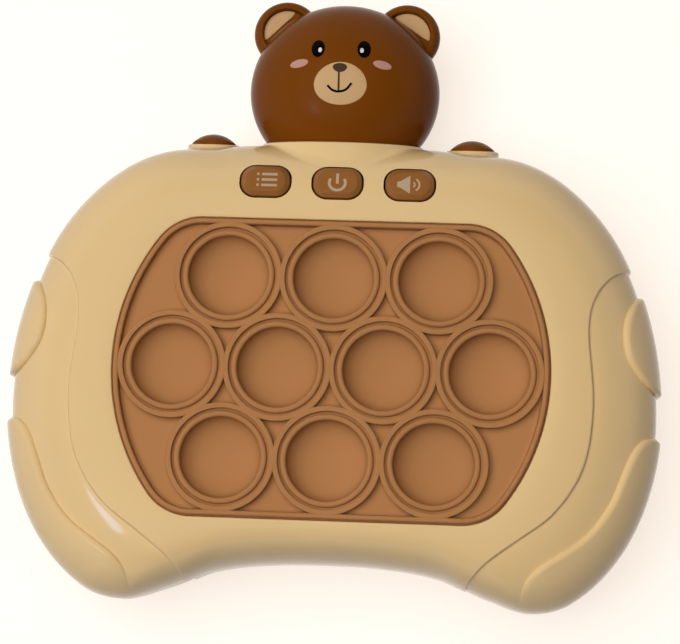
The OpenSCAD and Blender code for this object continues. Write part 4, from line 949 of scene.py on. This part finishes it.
# %% Symbols
def key_lay(x, y):
    """A button's top as a surface."""
    return key_top(y) + 0 * x


# Strokes round the middle of each button: bars and dots, a broken ring with a bar, a horn with two waves
LINE_W, POWER_W, WAVE_POINTS = 0.68, 0.72, 28
MENU_STEP, MENU_RISE, MENU_BAR, MENU_DOT = 1.5, 0.1, (-0.9, 3.0), (-2.1, -1.5)
menu = []
for level in (1, 0, -1):
    y = KEY_Y + level * MENU_STEP + MENU_RISE
    for start, end in (MENU_BAR, MENU_DOT):
        menu.append(ribbon(line_path(start - KEY_SPACING, y, end - KEY_SPACING, y), LINE_W))
power = [ribbon(arc((0, KEY_Y - 0.27), 2.0, 147, 393, 48), POWER_W),
         ribbon(line_path(0, KEY_Y - 0.5, 0, KEY_Y + 2.3), POWER_W)]
cone_x, cone_y = KEY_SPACING + np.array([-3.1, -2.4, 0.1]), KEY_Y - 0.25
volume = [ribbon(np.stack([cone_x, np.full(3, cone_y)], -1), (1.5, 1.7, 4.9)),
          ribbon(arc((KEY_SPACING + 0.5, cone_y), 0.75, -60, 60, WAVE_POINTS), 0.42),
          ribbon(arc((KEY_SPACING + 0.6, cone_y), 1.8, -58, 58, WAVE_POINTS), 0.5)]
for name, strokes in (("menu", menu), ("power", power), ("volume", volume)):
    ink_piece(name + "_symbol", strokes, key_lay, symbol_ink, name + "_button_body")
print("strokes of the symbols:", len(menu), len(power), len(volume))

# %% [markdown]
# ## Shoulder buttons
# A shoulder button is a short plunger with a part of a sphere on top, whose radius follows from the dome's
# width and height. A cylinder and a cut sphere would leave a seam, so one profile is turned about its own
# axis, and the rings are laid over along y.

# %% Shoulder buttons
SHOULDER_R, SHOULDER_DOME, SHOULDER_FOOT, DOME_END = 5.8, 2.6, CASE_TOP - 4.0, 88
dome_r = (SHOULDER_R**2 + SHOULDER_DOME**2) / (2 * SHOULDER_DOME)
dome_from = np.degrees(np.arccos(SHOULDER_R / dome_r))
dome = np.concatenate([
    [(SHOULDER_R, SHOULDER_FOOT)],
    arc((0, TURRET_Y + SHOULDER_DOME - dome_r), dome_r, dome_from, DOME_END, 16),
])
for side, name in ((-1, "left_shoulder"), (1, "right_shoulder")):
    turned = revolved(dome, 72)
    rings = np.stack([turned[..., 0] + side * TURRET_X, turned[..., 2], turned[..., 1] + PART_Z], -1)
    hubs = (side * TURRET_X, SHOULDER_FOOT, PART_Z), (side * TURRET_X, TURRET_Y + SHOULDER_DOME, PART_Z)
    button = ring_piece(name + "_cap", rings, chocolate_abs, *hubs)
    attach(button, name + "_body")
    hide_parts(name + "_button")
print("radius of a shoulder button's dome, mm:", round(dome_r, 2))

# %% [markdown]
# ## Bear head
# The head is an egg-shaped shell in two halves with round ears, x = a sin(p) cos(t), y = b cos(p),
# z = d sin(p) sin(t). A scaled sphere would have to be cut at the collar. Here the rows start at the top of
# the head and end exactly on the collar's sloping top, so the edge is clean; the search for that last row is
# the same halving as before. The half of each ring behind the seam is pressed flat onto it. An ear is a thick
# ring, turned from one profile, with a tan lining in its hollow that is cut straight where the head begins.

# %% Head shells
HEAD_Y = COLLAR_Y + 14.0
HEAD = np.array([24.7, 23.2, 18.5])
HEAD_GAP, HEAD_POINTS, HEAD_ROWS = 0.06, 160, 56
FIRST_SHARE, BASE_SHARES = 0.02, (0.98, 0.5)


def half_head(way):
    """Rings of half the head from its top down to the collar, then over the flat base to its middle."""
    t = np.linspace(0, 2 * np.pi, HEAD_POINTS, endpoint=False)
    depth = HEAD[2] * np.maximum(np.sin(t), 0)
    low, high = np.full(HEAD_POINTS, np.pi / 2), np.full(HEAD_POINTS, np.pi)
    for _ in range(HALVINGS):
        p = (low + high) / 2
        above = HEAD_Y + HEAD[1] * np.cos(p) > COLLAR_Y - COLLAR_FALL * depth * np.sin(p) + HEAD_GAP
        low, high = np.where(above, p, low), np.where(above, high, p)
    p = low * np.linspace(FIRST_SHARE, 1, HEAD_ROWS)[:, None]
    x, y = HEAD[0] * np.sin(p) * np.cos(t), HEAD_Y + HEAD[1] * np.cos(p)
    rings = np.stack([x, y, PART_Z + way * depth * np.sin(p)], -1)
    middle = np.array((0, COLLAR_Y + HEAD_GAP, PART_Z))
    base = np.stack([middle + (rings[-1] - middle) * share for share in BASE_SHARES])
    return np.concatenate([rings, base]), middle


for name, way in (("head_front", 1), ("head_rear", -1)):
    rings, middle = half_head(way)
    shell = ring_piece(name + "_skin", rings, chocolate_abs, (0, HEAD_Y + HEAD[1], PART_Z), middle)
    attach(shell, "case")
    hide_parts(name)
print("head halves of", len(shell.data.polygons), "faces; top at y, mm:", round(HEAD_Y + HEAD[1], 2))

# %% Ears
EAR_X, EAR_Y, EAR_R, EAR_TUBE, EAR_ROLL = 15.7, HEAD_Y + 15.6, 8.7, 3.3, 2.2
LINING_R, LINING_Z, LINING_GAP = 6.1, 1.9, 0.05
# The hollow's floor lies under the lining; its wall leans a little and rolls over to the crest
BED_R, BED_Z = 5.0, LINING_Z - 0.4
HOLLOW_LEAN, HOLLOW_RISE, ROLL_IN, ROLL_UP = 0.08, 0.35, 0.32, 0.75
crest = EAR_R - EAR_ROLL
inner_turn, outer_turn = np.radians((30, 60, 85)), np.radians(np.linspace(0, 180, 25))
ear_profile = np.concatenate([
    [(BED_R, BED_Z), (LINING_R, BED_Z), (LINING_R + HOLLOW_LEAN, LINING_Z + HOLLOW_RISE)],
    np.stack([crest - ROLL_IN * np.cos(inner_turn), EAR_TUBE - ROLL_UP + ROLL_UP * np.sin(inner_turn)], -1),
    np.stack([crest + EAR_ROLL * np.sin(outer_turn), EAR_TUBE * np.cos(outer_turn)], -1),
])
# Rows of a lining: share of its outline, and height over its face
LINING_DEEP, LINING_DOME = 0.9, 0.02
LINING_ROWS = ((0.6, -LINING_DEEP), (1.0, -LINING_DEEP), (1.0, -0.2), (0.97, -0.08), (0.9, 0.0), (0.5, 0.01))
LEAST_COS, CORNER_POWER = 0.05, 9


def lining_rings(way, cut):
    """Rings of a lining round its own middle: the nearer of the ear's circle and a straight cut."""
    lining_middle = (LINING_R + cut) / 2
    turn = np.linspace(0, 2 * np.pi, 72, endpoint=False)
    to_circle = ray_r(-lining_middle, 0, LINING_R - LINING_GAP, turn)
    to_cut = (lining_middle - cut) / np.maximum(-np.cos(turn), LEAST_COS)
    reach = (to_circle**-CORNER_POWER + to_cut**-CORNER_POWER) ** (-1 / CORNER_POWER)
    turn = turn + np.arctan2(way[1], way[0])
    edge = np.stack([reach * np.cos(turn), reach * np.sin(turn)], -1)
    rings = np.stack([lift_to(edge * share, LINING_Z + rise) for share, rise in LINING_ROWS])
    return rings, np.array((*(lining_middle * way), 0.0))


for side, name, lean, cut in ((-1, "left_ear", 135, 2.3), (1, "right_ear", 56, 2.0)):
    spot = np.array((side * EAR_X, EAR_Y, PART_Z))
    hubs = spot + (0, 0, BED_Z), spot - (0, 0, EAR_TUBE)
    ear = ring_piece(name, revolved(ear_profile, 96) + spot, chocolate_abs, *hubs)
    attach(ear, "case")
    rings, aside = lining_rings(np.array((np.cos(np.radians(lean)), np.sin(np.radians(lean)))), cut)
    face = spot + aside + (0, 0, LINING_Z)
    hubs = face - (0, 0, LINING_DEEP), face + (0, 0, LINING_DOME)
    lining = ring_piece(name + "_lining", rings + spot + aside, tan_paint, *hubs)
    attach(lining, "case")
    if side < 0:
        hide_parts("ear_linings")
print("an ear:", len(ear.data.polygons), "faces; its lining:", len(lining.data.polygons))

# %% [markdown]
# ## Printed face
# The face is a plain animal face, pad-printed on the egg: each mark is a thin patch that follows the
# ellipsoid, so its outline is given in x and y and its height comes from the egg. An oval mark is a few
# rings from its middle to its edge, above the egg and back under it; a line is a ribbon, as on the buttons.
# A picture wrapped round the egg would need a map of its surface, and patches stay sharp from near.

# %% Ovals of ink
# Half an oval's thickness, and how high the first and the second print lie on the head
OVAL_INK, FIRST_PRINT, SECOND_PRINT = 0.03, 0.03, 0.09
OVAL_SHARES = np.array([0.25, 0.5, 0.75, 0.97, 1.0, 0.97, 0.5])
OVAL_SIDES = np.array([1, 1, 1, 1, 0, -1, -1])


def egg_z(x, y):
    """Height of the front of the head at x and y."""
    inside = 1 - (x / HEAD[0]) ** 2 - ((y - HEAD_Y) / HEAD[1]) ** 2
    return PART_Z + HEAD[2] * np.sqrt(np.maximum(inside, 0))


def oval(name, middle, width, height, turn, finish_of, layer, taper=0.0):
    """An oval of ink: rings of shares of its outline, out over the egg and back beneath it."""
    t = np.linspace(0, 2 * np.pi, 72, endpoint=False)
    flat = np.stack([width / 2 * np.cos(t) * (1 + taper * np.sin(t)), height / 2 * np.sin(t)], -1)
    c, s = np.cos(np.radians(turn)), np.sin(np.radians(turn))
    flat = flat @ np.array([[c, s], [-s, c]])
    above = OVAL_SIDES * OVAL_INK + layer
    spread = flat * OVAL_SHARES[:, None, None] + middle
    z = egg_z(spread[..., 0], spread[..., 1]) + above[:, None]
    hub_z = egg_z(*middle)
    piece = ring_piece(name, np.concatenate([spread, z[..., None]], -1), finish_of,
                       (*middle, hub_z + above[0]), (*middle, hub_z + above[-1]))
    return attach(piece, "case")


print("front of the head, mm:", egg_z(0, HEAD_Y))

# %% Face
# Each oval: its middle, width, height, turn in degrees, ink and layer
FACE_X = -0.55
oval("muzzle_print", (FACE_X + 0.16, 72.9), 13.3, 10.9, 0, muzzle_ink, FIRST_PRINT, taper=-0.06)
oval("nose_print", (FACE_X - 0.06, 76.85), 3.6, 2.4, 0, nose_ink, SECOND_PRINT, taper=0.14)
for side, name in ((-1, "left"), (1, "right")):
    oval(name + "_eye_print", (FACE_X + side * 5.84, 82.15), 3.4, 4.85, 0, black_ink, FIRST_PRINT)
    oval(name + "_eye_spark_print", (FACE_X + side * 5.3, 81.7), 0.95, 1.38, 0, white_ink, SECOND_PRINT)
    oval(name + "_blush_print", (FACE_X + side * 10.57, 78.26), 4.7, 2.2, -side * 9, blush_ink, FIRST_PRINT)
STEM_W, SMILE_W, STEM_LAYER, SMILE_LAYER = 0.5, 0.55, 0.08, 0.1
SMILE = [(-3.64, 72.23), (-2.42, 71.1), (-0.71, 70.7), (1.18, 71.31), (2.47, 72.92)]
smile_x = np.linspace(SMILE[0][0], SMILE[-1][0], 25)
stem = ribbon(line_path(-0.82, 75.9, -0.76, 70.8, 10), STEM_W)
smile = ribbon(np.stack([smile_x, smooth_curve(SMILE, smile_x)], -1), SMILE_W)
ink_piece("stem_print", [stem], lambda x, y: egg_z(x, y) + STEM_LAYER, nose_ink, "case")
ink_piece("smile_print", [smile], lambda x, y: egg_z(x, y) + SMILE_LAYER, black_ink, "case")

# %% [markdown]
# ## The other CAD pieces
# Everything else keeps its CAD shape: inside the case it is hidden, and on the back only the door and its
# screws show. Each takes the finish that its slot in the record names.

# %% Finishes of the CAD pieces
SLOT_FINISH = {
    "cream_plastic": cream_abs, "brown_silicone": caramel_silicone, "white_plastic": white_abs,
    "circuit_board": board_mask, "black_plastic": black_abs, "cocoa_plastic": cocoa_abs,
    "chocolate_plastic": chocolate_abs, "tan_plastic": tan_paint, "milky_plastic": milky_abs,
    "battery_wrap": cell_wrap, "grey_paper": cone_paper, "red_wire": red_wire, "steel": zinc_steel,
    "copper": spring_copper,
}
slot_of = {row["node"]: row["material_slot"] for row in frame["record"]["subparts"]}
for name, part in frame["nodes"].items():
    part.data.materials.clear()
    part.data.materials.append(SLOT_FINISH[slot_of[name]])
print("CAD nodes with a finish:", len(frame["nodes"]))

# %% [markdown]
# ## Floor and light
# The game lies on a white table. Its flat face is the brightest and every slope is darker, the right ones
# most, so the photograph's light is one broad softbox overhead, a little to the left, with little fill. A
# small bluish lamp beside it, as from a far window, makes the streaks on the grip and the head. Floor and
# walls are white to the camera, to reflections and through clear pieces, so the background is white without
# more light on the game, and the table still takes the shadow.


# %% Floor
def seen_ray(tree):
    """1 for rays from the camera, in a reflection or through a clear piece, and 0 for light that fills in."""
    path = add(tree, "ShaderNodeLightPath").outputs
    plain = {0: path["Is Camera Ray"], 1: path["Is Glossy Ray"]}
    either = add(tree, "ShaderNodeMath", plain, operation="MAXIMUM")
    both = {0: either.outputs[0], 1: path["Is Transmission Ray"]}
    return add(tree, "ShaderNodeMath", both, operation="MAXIMUM").outputs[0]


FLOOR_HALF, FLOOR_DROP, FLOOR_GLOW = 1.5, 0.0002, 0.79
floor_mesh = bpy.data.meshes.new("floor")
corners = FLOOR_HALF * np.array([(-1, -1), (1, -1), (1, 1), (-1, 1)])
floor_mesh.from_pydata(lift_to(corners, -FLOOR_DROP).tolist(), [], [(0, 1, 2, 3)])
floor = bpy.data.objects.new("floor", floor_mesh)
bpy.context.scene.collection.objects.link(floor)
# Table laminate: pale and dull, and white to the rays that are seen
pale_table = finish("pale_table_laminate", "#a4a29e", 0.7, FILM_IOR, shade=0.01, patch=80, peel=0.5,
                    depth=0.004)
tree = pale_table.node_tree
glow = add(tree, "ShaderNodeMath", {0: seen_ray(tree), 1: FLOOR_GLOW}, operation="MULTIPLY").outputs[0]
table_shader = tree.nodes["Principled BSDF"]
table_shader.inputs["Emission Color"].default_value = linear("#fff2e6")
tree.links.new(glow, table_shader.inputs["Emission Strength"])
floor_mesh.materials.append(pale_table)
print("width of the floor, m:", 2 * FLOOR_HALF)

# %% Room
scene = bpy.context.scene
scene.view_settings.view_transform = "Standard"
world = bpy.data.worlds.new("studio")
scene.world = world
world.use_nodes = True
tree = world.node_tree
back = tree.nodes["Background"]
back.inputs["Color"].default_value = linear("#ffffff")
# White walls up to a dim ceiling for the rays that are seen, and an even weak fill for the others
FILL, WALLS, CEILING = 0.025, 1.0, 0.15
WALL_END, CEILING_START = 0.35, 0.7
way_in = add(tree, "ShaderNodeTexCoord").outputs["Generated"]
height = add(tree, "ShaderNodeSeparateXYZ", {0: way_in}).outputs["Z"]
fade = {"Value": height, "From Min": WALL_END, "From Max": CEILING_START, "To Min": WALLS, "To Max": CEILING}
room = add(tree, "ShaderNodeMapRange", fade, interpolation_type="SMOOTHSTEP").outputs["Result"]
shown = add(tree, "ShaderNodeMix", {"Factor": seen_ray(tree), "A": FILL, "B": room})
tree.links.new(shown.outputs["Result"], back.inputs["Strength"])
print("strength of fill, walls and ceiling:", FILL, WALLS, CEILING)


# %% Lamps
def soft_lamp(name, spot, aim, wide, high, watts, code):
    """An area lamp at a spot in metres, turned towards a point."""
    data = bpy.data.lights.new(name, "AREA")
    data.shape = "RECTANGLE"
    data.size, data.size_y = wide, high
    data.energy = watts
    data.color = linear(code)[:3]
    lamp = bpy.data.objects.new(name, data)
    lamp.location = spot
    way = np.array(spot) - np.array(aim)
    lamp.rotation_mode = "XYZ"
    tilt, swing = np.arccos(way[2] / np.linalg.norm(way)), np.arctan2(way[1], way[0]) + np.pi / 2
    lamp.rotation_euler = (tilt, 0, swing)
    scene.collection.objects.link(lamp)
    return lamp


# Each lamp: its place and aim, its width and height in metres, its watts and its colour
LAMP_AIM = (0, 0, 0.02)
softbox = soft_lamp("softbox", (-0.27, 0.06, 0.92), LAMP_AIM, 1.1, 1.1, 11.7, "#ffffff")
# The softbox shows in no reflection, as behind a polarising filter; the small lamp does
softbox.visible_glossy = False
window_lamp = soft_lamp("window", (-0.435, -0.225, 0.765), LAMP_AIM, 0.18, 0.09, 0.5, "#9fc8ff")
print("lamps, W:", softbox.data.energy, window_lamp.data.energy)
